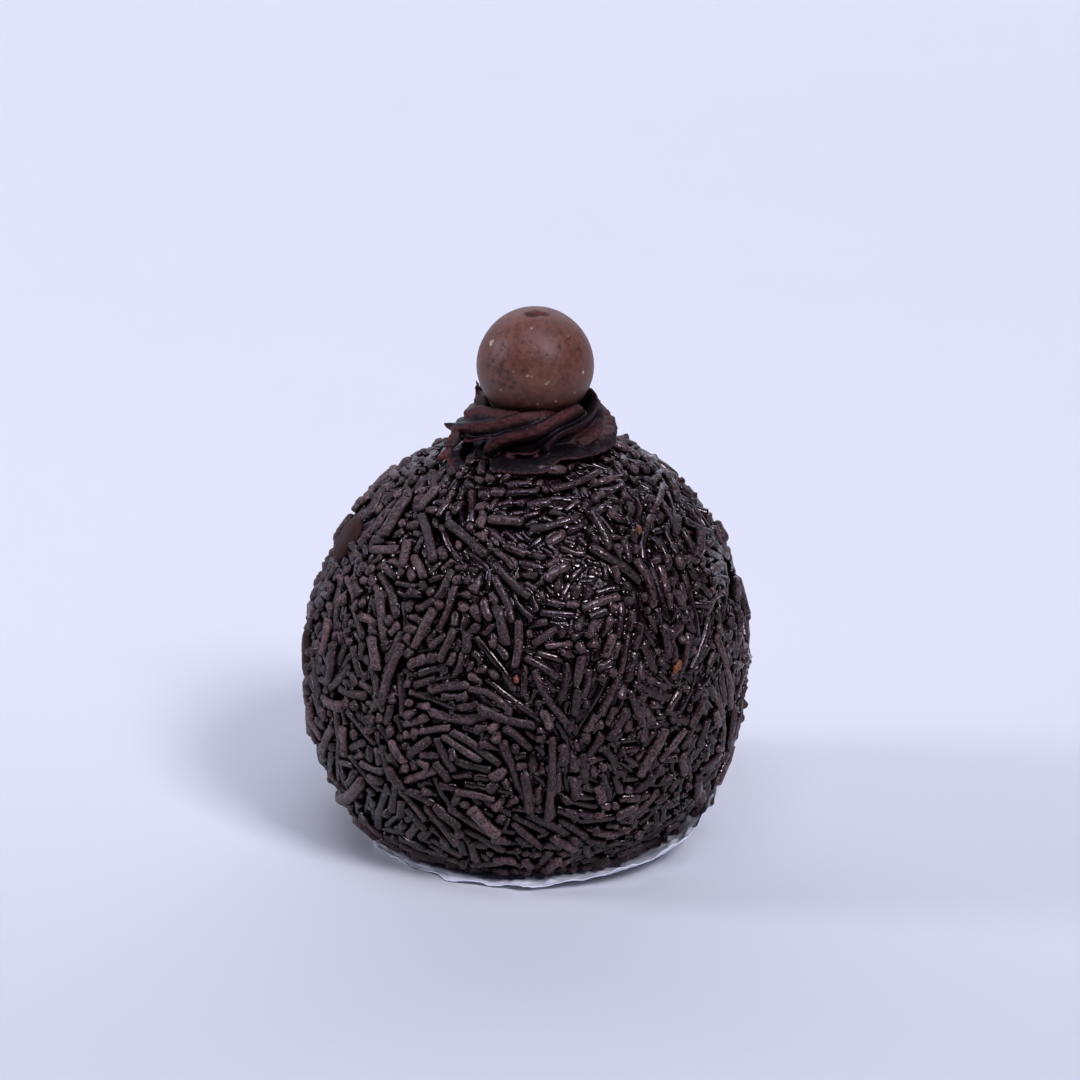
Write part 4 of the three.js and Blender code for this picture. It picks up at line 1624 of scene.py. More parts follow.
@dataclass(frozen=True)
class RosetteForm:
    """Form of the piped rosette: a rope with ridges left by the star nozzle, laid in a ring.

    Attributes:
        centre_x: Place of the ring's middle.
        ring: Radius of the ring.
        rope_z: Height of the rope's middle.
        core: Radius of the rope in the valleys.
        root: Distance from the rope's middle at which sheets start.
        lean: Section angle by which the crests lean up, in degrees.
        ridges: The rope's ridges.
        skirt: Edges of the petals spread on the ball.
        sheets: Thin torn layers.
    """

    centre_x: float = 0.9
    ring: float = 5.9
    rope_z: float = 56.3
    core: float = 2.2
    root: float = 1.3
    lean: float = 7.0
    ridges: tuple[Trail, ...] = (
        Trail((
            (150, 16, 3.0), (168, 20, 3.4), (184, 26, 3.5), (196, 38, 3.7), (206, 55, 3.8),
            (223, 62, 3.8), (243, 66, 3.7), (264, 82, 3.3),
        ), 1.5, 2.3),
        Trail((
            (186, -7, 5.0), (192, -2, 4.8), (207, 10, 4.4), (222, 22, 4.2), (238, 35, 4.2),
            (250, 48, 4.2), (262, 59, 4.2), (278, 67, 4.0), (300, 84, 3.6),
        ), 1.0, 2.0, 0.1),
        Trail((
            (230, -44, 4.9), (232, -26, 4.9), (237, -6, 4.6), (249, 10, 4.4), (264, 22, 4.3),
            (276, 33, 4.3), (285, 44, 4.3), (299, 57, 4.3), (318, 66, 4.2), (336, 68, 3.8),
        ), 1.0, 1.9, 0.1),
        Trail((
            (280, -34, 4.3), (281, -13, 4.3), (285, 3, 4.3), (293, 15, 4.3), (305, 22, 4.4),
            (319, 29, 4.5), (333, 37, 4.6), (344, 43, 4.8), (354, 50, 5.0), (368, 60, 5.2),
            (386, 72, 5.1), (408, 88, 4.2),
        ), 1.3, 1.2, 0.8),
        Trail((
            (312, -26, 4.2), (320, -17, 4.3), (328, -10, 4.3), (336, 4, 4.3), (343, 19, 4.3),
            (353, 32, 4.4), (370, 46, 4.4), (392, 62, 4.2), (420, 85, 3.8),
        ), 1.2, 1.3, 0.6),
        Trail((
            (328, -32, 4.9), (342, -28, 5.3), (360, -20, 5.4), (376, -8, 5.1), (392, 8, 4.7),
            (412, 28, 4.4), (435, 50, 4.2), (460, 74, 4.0),
        ), 1.4, 1.8),
        back_ridge(30.0),
        back_ridge(72.0),
        Trail(((114, -38, 4.2), (125, -14, 4.6), (143, 4, 4.4), (160, 12, 3.6)), 1.2, 1.9, 0.15),
        Trail(((148, -38, 4.2), (158, -18, 4.5), (172, -8, 4.4), (186, -7, 4.4)), 1.1, 1.8, 0.15),
    )
    skirt: tuple[Trail, ...] = (
        Trail((
            (235, -38, 4.8), (241, -31.5, 6.8), (252, -26.7, 7.25), (264, -26.7, 7.35), (277, -26.5, 7),
            (284, -24, 6.0), (290, -23, 5.3), (303, -24, 5.4), (316, -23, 5.6), (342, -22, 5.6),
            (362, -20, 5.5), (380, -24, 4.2),
        ), 0.26, depth=3.6),
        Trail(((14, -34, 4.4), (34, -30, 5.6), (56, -32, 5.7), (80, -30, 5.4), (94, -34, 4.2)), 0.5),
        Trail(((90, -34, 4.4), (112, -30, 5.6), (136, -32, 5.5), (158, -30, 5.4), (172, -34, 4.2)), 0.5),
    )
    sheets: tuple[Trail, ...] = (
        Trail(((186, 4, 6.1), (188, 0, 5.8), (192, -1, 5.4), (199, 4, 4.9), (210, 11, 4.4)), 0.42),
        Trail((
            (198, 2, 5.4), (202, -8, 6.4), (205, -17, 7.3), (206, -21, 9.0), (208, -23, 7.7),
            (213, -27, 8.2), (218, -30, 8.5), (221, -33, 8.0),
        ), 0.32, depth=2.2, course=Course.TORN),
        Trail((
            (144, 56, 3.4), (149, 60, 4.8), (152, 58, 3.5), (156, 64, 5.9), (159, 62, 3.6),
            (163, 66, 5.3), (167, 62, 3.7), (174, 60, 3.4),
        ), 0.14, course=Course.TORN),
        Trail((
            (245, -30, 3.0), (251, -22, 4.2), (260, -16, 4.6), (268, -17, 4.5), (275, -25, 3.2),
        ), 0.13, depth=0.9),
        Trail((
            (203, -12, 4.3), (214, -10, 4.9), (226, 0, 4.7), (236, 8, 4.0),
        ), 0.16, depth=2.0, course=Course.TORN),
        Trail(((214, -32, 4.4), (221, -33, 5.4), (228, -32, 5.1), (233, -33, 4.8)), 0.16),
    )

    def footprint(self, azimuth: Array) -> Array:
        """Returns the radius of the rosette's foot at each azimuth in radians."""
        turn = np.degrees(azimuth) % 360
        radius = np.full(len(turn), self.ring + self.core + 1.1)
        for trail in (*self.skirt, self.sheets[1]):
            line = trail.line(60)
            out = self.ring - 0.8 + line[:, 2] * np.cos(np.radians(line[:, 1]))
            for lap in (0, 360):
                reach = np.interp(turn + lap, line[:, 0], out, left=0, right=0)
                radius = np.maximum(radius, reach)
        return radius


ROSETTE = RosetteForm()


@dataclass(frozen=True)
class GanacheFinish:
    """Half-matt dark ganache, curdled on its crests and browned where it is torn, with painted shade in its
    recesses, under the rope and down the flanks of its ridges, and painted highlights on the edges of its
    sheets.
    """

    # Painted shade: the flank colour darkens a ridge's flanks away from its crest; the crest colour is the
    # crests' own reddish tint.
    flank: Colour = (0.0058, 0.0014, 0.0019)
    crest: Colour = (0.080, 0.0215, 0.0210)
    # Painted shade: the near-black of the recesses and of the underside of the rope.
    valley: Colour = (0.0010, 0.0002, 0.0003)
    curd: Colour = (0.090, 0.034, 0.026)
    browned: Colour = (0.110, 0.022, 0.007)
    clouds: Grain = Grain(1.8, 3, 0.6)
    tears: Grain = Grain(0.8)
    lumps: Grain = Grain(0.7, 3, 0.6)
    curds: Grain = Grain(0.3, 3, 0.7)
    shine: float = 0.24
    tint: Tint = (1.0, 0.76, 0.84, 1.0)

    def dress(self, piece: Piece) -> None:
        """Gives the piece this finish."""
        recipe = Recipe("dark_ganache")
        crest = recipe.attribute("crest")
        grain = recipe.noise(self.curds)
        # Painted shade: away from the crest the colour falls to the flank colour.
        crest_tint_and_flank_shade = (0.1 + crest * 0.75 + 0.8 * (recipe.noise(self.clouds) - 0.5)).clamped()
        flesh = recipe.mix(crest_tint_and_flank_shade, self.flank, self.crest)
        # Painted shade in the recesses and under the rope.
        shaded = recipe.mix((recipe.attribute("valley") * 1.6).clamped(), flesh, self.valley)
        curdled = (crest * grain.step(0.52, 0.7) * 0.6).clamped()
        curds = recipe.mix(curdled, shaded, self.curd)
        browned = (recipe.attribute("torn") * recipe.noise(self.tears).step(0.46, 0.70)).clamped()
        edged = recipe.mix(browned * 0.8, curds, self.browned)
        relief = recipe.bump(recipe.noise(self.lumps), 0.08, 0.6)
        fine = recipe.bump(grain, 0.06, 0.8, relief)
        rough = 0.46 + 0.2 * crest + 0.25 * (grain - 0.5)
        recipe.dress(
            piece, Base_Color=edged, Roughness=rough, Normal=fine,
            Specular_IOR_Level=self.shine, Specular_Tint=self.tint,
        )


@dataclass
class GanacheRosette:
    """The piped rosette in fine detail.

    Attributes:
        steps: Steps round the ring.
        sides: Steps round the rope.
        cuts: Sections of a sheet.
        around: Points round a sheet's section.
        samples: Points of a crest line to which distances are measured.
        bed_steps: Steps of the bed under the rope.
        flank_out: Distance from the rope's middle at which widths round the ring are taken.
        flank_reach: The same for widths round the rope.
        margin: Azimuth by which a ridge reaches past its ends, in degrees.
        voxel: Size of the cells in which it is fused.
        clearance: Kept from the malt ball.
        sunk: Depth inside the fudge past which nothing of it lies.
    """

    steps: int = 400
    sides: int = 150
    cuts: int = 60
    around: int = 16
    samples: int = 60
    bed_steps: int = 72
    flank_out: float = 2.8
    flank_reach: float = 3.7
    margin: float = 16.0
    voxel: float = 0.148
    clearance: float = 0.12
    sunk: float = 0.8

    def teeth(self, azimuth: Array, section: Array) -> tuple[Array, Array]:
        """Measures the rope's ridges.

        Args:
            azimuth: Of places on the rope, in degrees.
            section: Their section angles, in degrees.

        Returns:
            The rope's reach at each place, and its nearness to a crest, from 0 to 1.
        """
        across_ring = math.radians(ROSETTE.ring + self.flank_out)  # Millimetres in a degree.
        across_rope = math.radians(self.flank_reach)
        reach = np.full(len(azimuth), ROSETTE.core)
        crest = np.zeros(len(azimuth))
        for ridge in ROSETTE.ridges:
            line = ridge.line(self.samples)
            first = line[0, 0] - self.margin
            near = np.flatnonzero(((azimuth - first) % 360) < line[-1, 0] + self.margin - first)
            turn = first + (azimuth[near] - first) % 360
            rise = section[near]
            best = np.full(len(near), np.inf)
            index = np.zeros(len(near), int)
            for number, station in enumerate(line):
                distance = ((turn - station[0]) * across_ring) ** 2
                distance += ((rise - station[1]) * across_rope) ** 2
                nearer = distance < best
                best[nearer] = distance[nearer]
                index[nearer] = number
            ahead = np.gradient(line[:, 0] * across_ring)
            upward = np.gradient(line[:, 1] * across_rope)
            slant = np.hypot(ahead, upward)[index]
            side = (rise - line[index, 1]) * across_rope * ahead[index] / slant
            side -= (turn - line[index, 0]) * across_ring * upward[index] / slant
            width = lerp(ridge.below, ridge.above, smooth(-0.5, 0.5, side))
            share = np.clip(np.sqrt(best) / width, 0, 1)
            round_tooth = (1 - share**1.5) ** 0.7
            thin_tooth = (1 - share**0.8) ** 1.2
            tooth = lerp(round_tooth, thin_tooth, ridge.keen)
            ends = rounded_fade(index / (self.samples - 1), 0.1, 0.12)
            height = ROSETTE.core + (line[index, 2] - ROSETTE.core) * tooth * lerp(0.35, 1, ends)
            higher = height > reach[near]
            reach[near[higher]] = height[higher]
            crest[near[higher]] = tooth[higher]
        return reach, crest

    def rope(self, bm: BMesh) -> None:
        """Adds the ridged rope, as a ring of round section whose points are then moved."""
        heart = Matrix.Translation((ROSETTE.ring, 0, 0)) @ Matrix.Rotation(math.pi / 2, 4, "X")
        verts, edges = add_ring(bm, self.sides, heart)
        revolve(bm, [*verts, *edges], self.steps)
        points = np.array([vert.co for vert in bm.verts])
        azimuth = np.arctan2(points[:, 1], points[:, 0])
        section = np.arctan2(points[:, 2], np.hypot(*points[:, :2].T) - ROSETTE.ring)
        reach, crest = self.teeth(np.degrees(azimuth), np.degrees(section))
        leant = section + math.radians(ROSETTE.lean) * crest
        radius = ROSETTE.ring + reach * np.cos(leant)
        moved = np.column_stack([
            ROSETTE.centre_x + radius * np.cos(azimuth),
            radius * np.sin(azimuth),
            ROSETTE.rope_z + reach * np.sin(leant),
        ])
        for vert, place in zip(bm.verts, moved * MM):
            vert.co = place

    def bed(self, bm: BMesh) -> None:
        """Adds the ganache under the rope, down into the fudge."""
        inner, outer = ROSETTE.ring - 1.6, ROSETTE.ring + ROSETTE.core - 0.1
        low, high = ROSETTE.rope_z - 2 * ROSETTE.core, ROSETTE.rope_z
        profile = [(inner, low), (outer, low), (outer, high), (inner, high)]
        shift = ROSETTE.centre_x
        verts = [bm.verts.new(((shift + x) * MM, 0, z * MM)) for x, z in profile]
        edges = [bm.edges.new(pair) for pair in zip(verts, [*verts[1:], verts[0]])]
        revolve(bm, [*verts, *edges], self.bed_steps, shift * MM)

    def place(self, station: Array) -> tuple[Vector, Vector]:
        """Returns the point at a station and the way out of the rope there, in mm."""
        turn, rise = math.radians(station[0]), math.radians(station[1])
        out = Vector((math.cos(turn), math.sin(turn), 0))
        normal = out * math.cos(rise) + Vector((0, 0, math.sin(rise)))
        middle = out * ROSETTE.ring + Vector((ROSETTE.centre_x, 0, ROSETTE.rope_z))
        return middle + normal * station[2], normal

    def sheet(self, bm: BMesh, trail: Trail) -> None:
        """Adds a thin sheet that is rooted in the rope and ends in the trail's line."""
        line = trail.line(self.cuts)
        crests = [self.place(station) for station in line]
        half = [min(trail.depth, station[2] - ROSETTE.root) / 2 for station in line]
        rings = []
        for index, (crest, normal) in enumerate(crests):
            before, after = crests[max(index - 1, 0)][0], crests[min(index + 1, self.cuts - 1)][0]
            along = (after - before).normalized()
            across = along.cross(normal).normalized()
            ends = min(index, self.cuts - 1 - index) / 4
            thick = trail.above * min(1.0, 0.4 + 0.6 * ends)
            axes = Matrix((normal * half[index] * MM, across * thick * MM, along * MM)).transposed()
            heart = crest - normal * half[index]
            rings.append(add_ring(bm, self.around, Matrix.Translation(heart * MM) @ axes.to_4x4()))
        skin(bm, rings)

    def build(self) -> Piece:
        """Returns the rosette: rope and sheets fused, then roughened."""
        bm = bmesh.new()
        self.rope(bm)
        self.bed(bm)
        for trail in (*ROSETTE.skirt, *ROSETTE.sheets):
            self.sheet(bm, trail)
        bmesh.ops.recalc_face_normals(bm, faces=bm.faces)
        piece = object_from("ganache_swirl", bm)
        fuse = piece.modifiers.new("fuse", "REMESH")
        fuse.mode = "VOXEL"
        fuse.voxel_size = self.voxel * MM
        fuse.use_smooth_shade = True
        ease = piece.modifiers.new("ease", "SMOOTH")
        ease.factor = 0.5
        ease.iterations = 2
        apply_modifiers(piece)
        self.roughen(piece)
        return piece

    def roughen(self, piece: Piece) -> None:
        """Adds grain and ragged crests, notes where the ganache is torn, and paints the masks for its
        painted shade and for its painted highlights.
        """
        mesh = piece.data
        points = vertices_of(mesh)
        normal = normals_of(mesh)
        side = points[:, :2] - np.array([ROSETTE.centre_x, 0])
        out = np.hypot(*side.T) - ROSETTE.ring
        up = points[:, 2] - ROSETTE.rope_z
        azimuth = np.degrees(np.arctan2(side[:, 1], side[:, 0]))
        section = np.degrees(np.arctan2(up, out))
        tooth = self.teeth(azimuth, section)[1]
        # Away from the crest, the finish paints the flanks darker, as painted shade.
        crest = smooth(0.78, 1.0, tooth)
        # Painted shade: dark in the recesses near the rope's middle, away from the crests.
        valley = smooth(4.6, 3.0, np.hypot(out, up)) * smooth(0.95, 0.4, tooth)
        wall = smooth(0.45, 0.75, np.cos(np.radians(azimuth))) * smooth(2.0, 0.5, up)
        # The low outer wall towards +X is mostly kept out of that painted shade.
        valley *= 1 - 0.85 * wall
        torn = self.nearness(points, ROSETTE.sheets[1:3], 1.5) * smooth(-4.5, -6.5, points[:, 0])
        # Painted highlight: nearness to the edges of the sheets, which are painted lighter.
        sheet_edge_light = self.nearness(points, (*ROSETTE.skirt, *ROSETTE.sheets), 0.7)
        # Painted shade also under the rope, kept off the edges of the sheets and off torn places.
        valley = np.maximum(valley, 0.8 * smooth(-0.3, -1.5, up)) * (1 - sheet_edge_light) * (1 - torn)
        # Less of the crest colour where the surface faces up.
        crest *= 1 - 0.55 * smooth(0.35, 0.85, normal[:, 2])
        # Painted highlight on the edges of the sheets, which get some of the crest colour; the low outer
        # wall towards +X gets half of it.
        crest = np.maximum(crest, np.maximum(0.42 * sheet_edge_light, 0.5 * wall))
        ragged = Noise(0.5, 9).layered(points, 2)
        soft = Noise(2.2, 10).layered(points, 2)
        relief = 0.07 * soft + (0.03 + 0.15 * crest + 0.14 * torn) * ragged
        points += normal * relief[:, None]
        paint(mesh, crest=crest, torn=torn, valley=valley)
        self.clear(points)
        move_vertices(mesh, points)

    def nearness(self, points: Array, trails: Sequence[Trail], reach: float) -> Array:
        """Measures how near points lie to the lines in which sheets of ganache end.

        Args:
            points: The places, in mm.
            trails: The sheets' lines.
            reach: Distance at which the nearness is 0, in mm.

        Returns:
            The nearness of each, from 0 to 1.
        """
        near = np.zeros(len(points))
        for trail in trails:
            for station in trail.line(40):
                distance = np.linalg.norm(points - np.array(self.place(station)[0]), axis=1)
                near = np.maximum(near, smooth(reach, 0.15 * reach, distance))
        return near

    def clear(self, points: Array) -> None:
        """Moves points out of the malt ball and up from deep inside the fudge."""
        centre = np.array(MALT.centre)
        away = points - centre
        distance = np.linalg.norm(away, axis=1)
        near = np.maximum(MALT.radius + self.clearance - distance, 0)
        points += away / distance[:, None] * near[:, None]
        height, normal = FUDGE.height(points)
        points += normal * np.maximum(-self.sunk - height, 0)[:, None]

    def make(self) -> Piece:
        """Returns the dressed rosette in place of the CAD model's."""
        piece = self.build()
        GanacheFinish().dress(piece)
        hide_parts("ganache_rosette")
        return settled(piece)


# ---- the malt ball


@dataclass(frozen=True)
class MaltForm:
    """Form of the malt ball, as the CAD model has it.

    Attributes:
        radius: Of the ball.
        centre: Its middle.
        dimple_tilt: How far the scar on top faces the front.
        lump_height: Height of the slow unevenness.
    """

    radius: float = 7.8
    centre: Triple = (1.15, 0.0, 64.3)
    dimple_tilt: float = math.radians(14)
    lump_height: float = 0.06


MALT = MaltForm()


@dataclass(frozen=True)
class Mark:
    """A small mark on the malt ball.

    Attributes:
        azimuth: Of its place, in degrees.
        elevation: Of its place, in degrees.
        radius: Of the mark.
        depth: Of the pit that holds it; below 0 it stands proud.
        pale: From 0 to 1, how much of the pale crumb shows.
    """

    azimuth: float
    elevation: float
    radius: float
    depth: float
    pale: float


@dataclass(frozen=True)
class MaltFinish:
    """Waxy milk chocolate, mottled, painted darker below as painted shade, with dark pits, a crusty scar
    and pale crumb.
    """

    dark: Colour = (0.078, 0.0255, 0.0155)
    light: Colour = (0.165, 0.064, 0.0415)
    # Painted shade: the colour of the underside.
    below: Colour = (0.036, 0.0105, 0.0062)
    pit: Colour = (0.016, 0.0048, 0.0032)
    dark_crust: Colour = (0.016, 0.0042, 0.0026)
    light_crust: Colour = (0.100, 0.024, 0.0110)
    crumb: Colour = (0.56, 0.43, 0.27)
    clouds: Grain = Grain(4.5, 4, 0.6)
    mottles: Grain = Grain(0.8, 4, 0.7)
    fine: Grain = Grain(0.4, 3, 0.6)
    shine: float = 0.4
    tint: Tint = (1.0, 0.86, 0.9, 1.0)

    def dress(self, piece: Piece) -> None:
        """Gives the piece this finish."""
        recipe = Recipe("milk_chocolate")
        clouds = recipe.noise(self.clouds)
        mottle = recipe.noise(self.mottles)
        fine = recipe.noise(self.fine)
        scar = recipe.attribute("scar")
        height = recipe.axes()[2] * (1 / MM) - MALT.centre[2]
        tone = clouds.step(0.3, 0.7) * 0.4 + mottle.step(0.36, 0.64) * 0.6
        # Painted shade: the ball darkens towards its underside.
        below = (height + 2.4 * (clouds - 0.5)).step(0.6, -6.4)
        milk = recipe.mix(below * 0.85, recipe.mix(tone, self.dark, self.light), self.below)
        crumbs = height.step(-3.4, -4.8) * mottle.step(0.50, 0.60)
        pits = (recipe.attribute("pitted") * 0.7 + 0.35 * fine.step(0.60, 0.72) + 0.9 * crumbs).clamped()
        crusty = recipe.mix(mottle.step(0.42, 0.6), self.dark_crust, self.light_crust)
        scarred = recipe.mix(scar, recipe.mix(pits, milk, self.pit), crusty)
        marked = recipe.mix(recipe.attribute("pale"), scarred, self.crumb)
        waxy = recipe.bump(fine, 0.03, 0.6, recipe.bump(mottle, 0.06, 0.7))
        rough = 0.38 + 0.18 * clouds + 0.5 * (mottle - 0.5) + 0.35 * scar
        recipe.dress(
            piece, Base_Color=marked, Roughness=rough, Normal=waxy,
            Specular_IOR_Level=self.shine, Specular_Tint=self.tint,
        )


@dataclass
class MaltBall:
    """The malt ball in its milk-chocolate coat.

    Attributes:
        detail: Subdivisions of the ball.
        pits: Number of small pits all over it.
        rubbed: Number of pits on its rubbed side.
        rubbed_way: Direction of that side.
        scar: Half the width and height of the scar where it stood to dry.
        scar_depth: Depth of the scar.
        pit_radius: Least and greatest radius of a pit.
        pit_depth: Least and greatest depth of a pit.
        grain: Height of the fine unevenness.
        inset: Depth of its mean surface inside the CAD model's.
        marks: The chip and the specks that can be told apart.
        seed: Places the pits.
    """

    detail: int = 7
    pits: int = 60
    rubbed: int = 34
    rubbed_way: Triple = (-0.52, -0.82, 0.10)
    scar: Pair = (1.55, 0.85)
    scar_depth: float = 0.1
    pit_radius: Pair = (0.14, 0.34)
    pit_depth: Pair = (0.02, 0.07)
    grain: float = 0.022
    inset: float = 0.1
    marks: tuple[Mark, ...] = tuple(Mark(*row) for row in (
        (209, 31, 0.46, 0.2, 0.8), (323.5, 2, 0.2, -0.05, 1.0), (262.5, 4.5, 0.17, -0.04, 0.6),
        (266.5, 4.0, 0.14, -0.03, 0.25), (280.5, -3.5, 0.17, -0.04, 0.4), (283.0, -1.5, 0.17, -0.04, 0.25),
        (233.5, -13, 0.17, -0.03, 0.4), (247.5, 8, 0.17, -0.03, 0.35), (264, 53.5, 0.14, -0.03, 0.5),
        (269, 32.5, 0.14, -0.03, 0.35), (316.5, 40.5, 0.16, -0.03, 0.3), (292, -24, 0.18, -0.08, 0.35),
        (313, -17, 0.16, -0.08, 0.3), (272, -26, 0.14, -0.08, 0.3),
    ))
    seed: int = 19

    def build(self) -> Piece:
        """Returns the ball with its scar, marks, pits and soft unevenness."""
        piece = ball_of("malt_ball_coat", self.detail)
        way = unit(vertices_of(piece.data))
        skin = way * MALT.radius
        random = np.random.default_rng(self.seed)
        height = MALT.lump_height * FUDGE.lump(way) + self.grain * Noise(1.6, 15).layered(skin, 4)
        scar = self.scarred(way)
        height -= self.scar_depth * smooth(0, 0.7, scar) * (1 + 0.8 * Noise(0.7, 16).layered(skin, 2))
        spread = [unit(random.normal(0, 1, 3)) for _ in range(self.pits)]
        spread += [unit(self.rubbed_way + random.normal(0, 0.24, 3)) for _ in range(self.rubbed)]
        pitted = np.zeros(len(way))
        for spot in spread:
            size = random.uniform(*self.pit_radius)
            pit = np.exp(-((np.linalg.norm(way - spot, axis=1) * MALT.radius / size) ** 2))
            height -= random.uniform(*self.pit_depth) * pit
            pitted = np.maximum(pitted, pit)
        pale = np.zeros(len(way))
        ragged = 1 + 0.35 * Noise(0.4, 17)(skin)
        for mark in self.marks:
            off = way - direction(mark.azimuth, mark.elevation)
            share = np.linalg.norm(off, axis=1) * MALT.radius / mark.radius * ragged
            height -= mark.depth * np.exp(-(share**4))
            pale = np.maximum(pale, mark.pale * smooth(1.15, 0.75, share))
            pitted = np.maximum(pitted, 0.9 * (mark.depth > 0) * smooth(1.9, 1.2, share))
        points = way * (MALT.radius - self.inset + height)[:, None] + np.array(MALT.centre)
        move_vertices(piece.data, points)
        paint(piece.data, scar=scar, pitted=pitted, pale=pale)
        return piece

    def scarred(self, way: Array) -> Array:
        """Returns how deep each direction lies in the scar, from 0 outside to 1."""
        tilt = MALT.dimple_tilt
        across = way[:, 0] * MALT.radius / self.scar[0]
        along = (way[:, 1] * math.cos(tilt) + way[:, 2] * math.sin(tilt)) * MALT.radius / self.scar[1]
        ragged = 0.3 * Noise(0.9, 18).layered(way * MALT.radius, 2)
        return np.where(way[:, 2] > 0, smooth(1.25, 0.6, np.hypot(across, along) + ragged), 0.0)

    def make(self) -> Piece:
        """Returns the dressed ball in place of the CAD model's."""
        piece = self.build()
        MaltFinish().dress(piece)
        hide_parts("malt_ball")
        return settled(piece)


# ---- the studio


@dataclass(frozen=True)
class SoftBox:
    """A rectangular studio light. Places and sizes are in metres.

    Attributes:
        name: Its name.
        place: Its middle.
        aim: What it faces.
        width: Of its face.
        height: Of its face.
        power: In watts.
        colour: Of its light.
    """

    name: str
    place: Triple
    aim: Triple
    width: float
    height: float
    power: float
    colour: Colour

    def make(self) -> None:
        """Adds the light to the scene."""
        lamp = bpy.data.lights.new(self.name, "AREA")
        lamp.shape = "RECTANGLE"
        lamp.size = self.width
        lamp.size_y = self.height
        lamp.energy = self.power
        lamp.color = self.colour
        box = bpy.data.objects.new(self.name, lamp)
        box.location = self.place
        way = Vector(self.aim) - Vector(self.place)
        box.rotation_euler = way.to_track_quat("-Z", "Y").to_euler()
        bpy.context.scene.collection.objects.link(box)


BALL = (0.0, 0.0, 0.03)  # What the lights face, in metres.


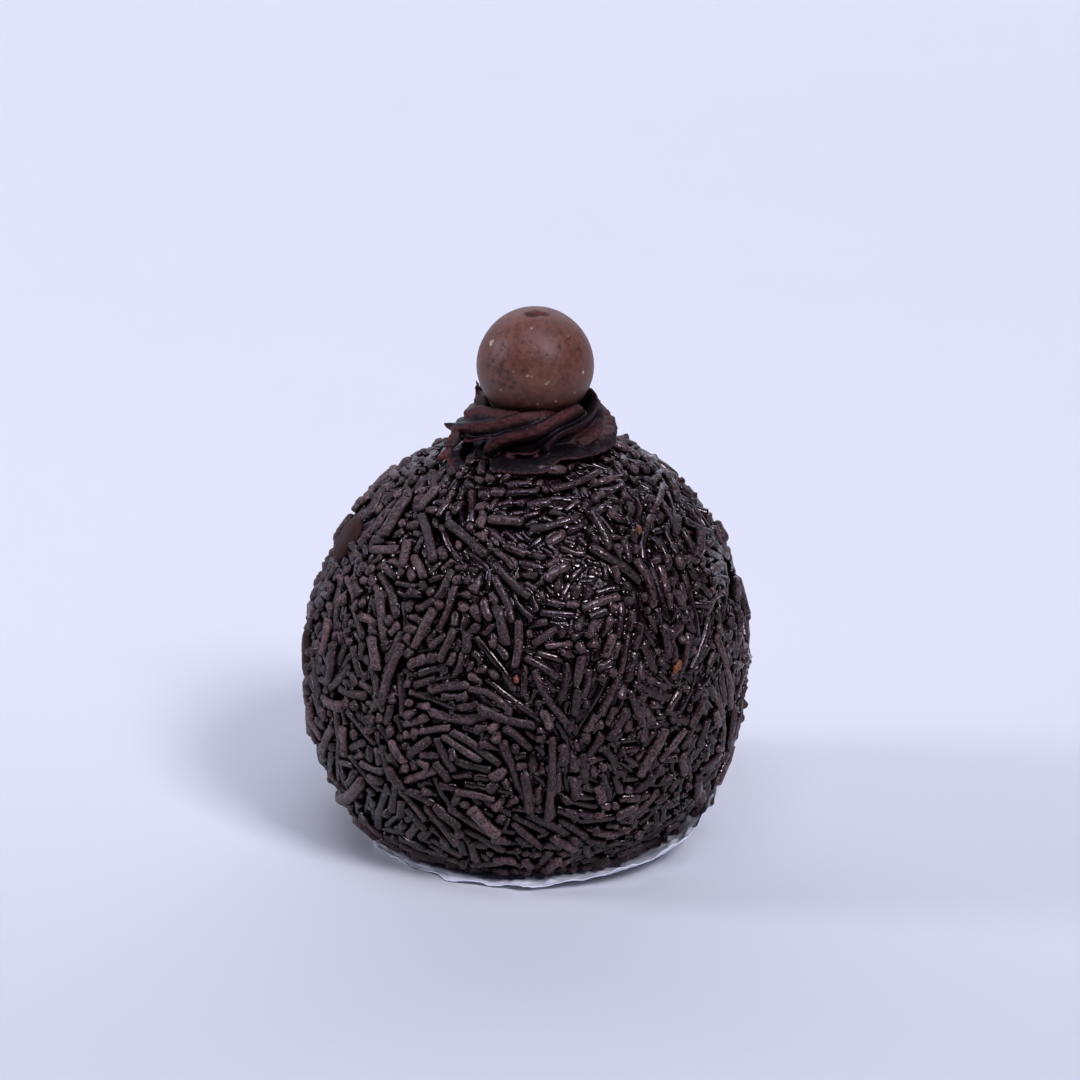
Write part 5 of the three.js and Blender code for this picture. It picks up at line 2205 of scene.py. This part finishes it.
@dataclass
class Studio:
    """Pale table, soft lights and the camera. The table's and the lights' sizes are in metres.

    Attributes:
        elevation: Of the camera above the ball's middle, in degrees.
        distance: From the camera to the ball's middle, in mm.
        focal: Focal length in pixels of a frame of 1080.
        frame: Width and height of that frame.
        ball_x: Where the ball's middle lies in it, from the left.
        ball_y: The same, from the top.
        table_side: Half the table's width.
        table_front: How far it reaches to the front.
        table_back: Where it starts to sweep up.
        sweep: Radius of that sweep.
        wall: Height of the backdrop.
        tabletop: Its two colours.
        spots: Grain of those colours.
        nearer: How much darker it is painted in front, as painted shade.
        sky: Colour of the dim surroundings.
        sky_strength: Their strength.
        boxes: The lights.
    """

    elevation: float = 20.0
    distance: float = 520.0
    focal: float = 3866.0
    frame: float = 1080.0
    ball_x: float = 526.0
    ball_y: float = 652.0
    table_side: float = 4.0
    table_front: float = 1.2
    table_back: float = 0.95
    sweep: float = 0.5
    wall: float = 1.6
    tabletop: tuple[Colour, Colour] = ((0.70, 0.715, 0.727), (0.72, 0.735, 0.740))
    spots: Grain = Grain(60.0)
    nearer: float = 0.16
    sky: Tint = (0.62, 0.76, 1.70, 1.0)
    sky_strength: float = 0.05
    boxes: tuple[SoftBox, ...] = (
        SoftBox("front_box", (0.92, -1.22, 1.58), BALL, 0.55, 0.55, 26.6, (1.02, 1.0, 1.14)),
        SoftBox("left_box", (-0.85, 0.02, 0.45), BALL, 0.22, 0.22, 2.9, (1.0, 1.0, 1.2)),
        SoftBox("top_box", (0.0, -0.5, 1.5), BALL, 1.0, 1.0, 9.0, (0.96, 1.0, 1.27)),
        SoftBox("back_box", (0.0, 1.1, 1.0), (0.0, 1.1, 0.0), 2.0, 0.5, 8.4, (1.0, 1.0, 1.2)),
    )

    def camera(self) -> None:
        """Adds the camera, aimed so that the ball's middle falls on its place."""
        rise = math.radians(self.elevation)
        tilt = math.atan((self.ball_y - self.frame / 2) / self.focal)
        turn = math.atan((self.ball_x - self.frame / 2) / self.focal)
        lens = bpy.data.cameras.new("camera")
        lens.sensor_width = 36.0
        lens.lens = self.focal / self.frame * lens.sensor_width
        lens.clip_end = 10.0
        camera = bpy.data.objects.new("camera", lens)
        middle = Vector((0, 0, FUDGE.widest_z))
        back = Vector((0, -math.cos(rise), math.sin(rise))) * self.distance
        camera.location = (middle + back) * MM
        camera.rotation_euler = (math.pi / 2 - rise + tilt, 0, turn)
        bpy.context.scene.collection.objects.link(camera)
        bpy.context.scene.camera = camera

    def table(self) -> None:
        """Adds a pale table that sweeps up into the backdrop, with painted shade towards the front."""
        bm = bmesh.new()
        profile = [(-self.table_front, 0.0), (self.table_back, 0.0)]
        profile += [
            (self.table_back + self.sweep * math.sin(turn), self.sweep - self.sweep * math.cos(turn))
            for turn in np.linspace(0, math.pi / 2, 24)[1:]
        ]
        profile.append((self.table_back + self.sweep, self.wall))
        verts = [bm.verts.new((-self.table_side, y, z)) for y, z in profile]
        edges = [bm.edges.new(pair) for pair in zip(verts, verts[1:])]
        made = bmesh.ops.extrude_edge_only(bm, edges=edges)["geom"]
        moved = [item for item in made if isinstance(item, bmesh.types.BMVert)]
        bmesh.ops.translate(bm, verts=moved, vec=(2 * self.table_side, 0, 0))
        bmesh.ops.recalc_face_normals(bm, faces=bm.faces)
        piece = object_from("table", bm)
        recipe = Recipe("pale_table")
        # Painted shade: the table darkens towards the front.
        nearer = recipe.axes()[1].step(0.09, -0.10)
        tint = recipe.scaled(recipe.mix(recipe.noise(self.spots), *self.tabletop), 1 - self.nearer * nearer)
        recipe.dress(piece, Base_Color=tint, Roughness=0.7, Specular_IOR_Level=0.15)

    def lights(self) -> None:
        """Adds the soft boxes and the dim surroundings."""
        world = bpy.data.worlds.new("studio")
        world.use_nodes = True
        back = world.node_tree.nodes["Background"]
        back.inputs["Color"].default_value = self.sky
        back.inputs["Strength"].default_value = self.sky_strength
        bpy.context.scene.world = world
        for box in self.boxes:
            box.make()

    def make(self) -> None:
        """Sets up the whole studio."""
        self.camera()
        self.table()
        self.lights()
        scene = bpy.context.scene
        scene.view_settings.view_transform = "Standard"
        scene.view_settings.look = "None"


def main() -> None:
    """Builds the studio and the sweet, piece by piece."""
    logging.basicConfig(level=logging.INFO, format="%(name)s: %(message)s")
    Studio().make()
    PaperRound().make()
    FudgeBall().make()
    coat = SprinkleCoat()
    rods = SprinklePieces(coat).make()
    SyrupBeads("syrup_streaks", longest=3.0, seed=77).make(coat, rods)
    SyrupBeads("syrup_drops", longest=1.5, seed=78).make(coat, rods)
    Buttons().make()
    Flecks().make()
    GanacheRosette().make()
    MaltBall().make()


if __name__ == "__main__":
    main()
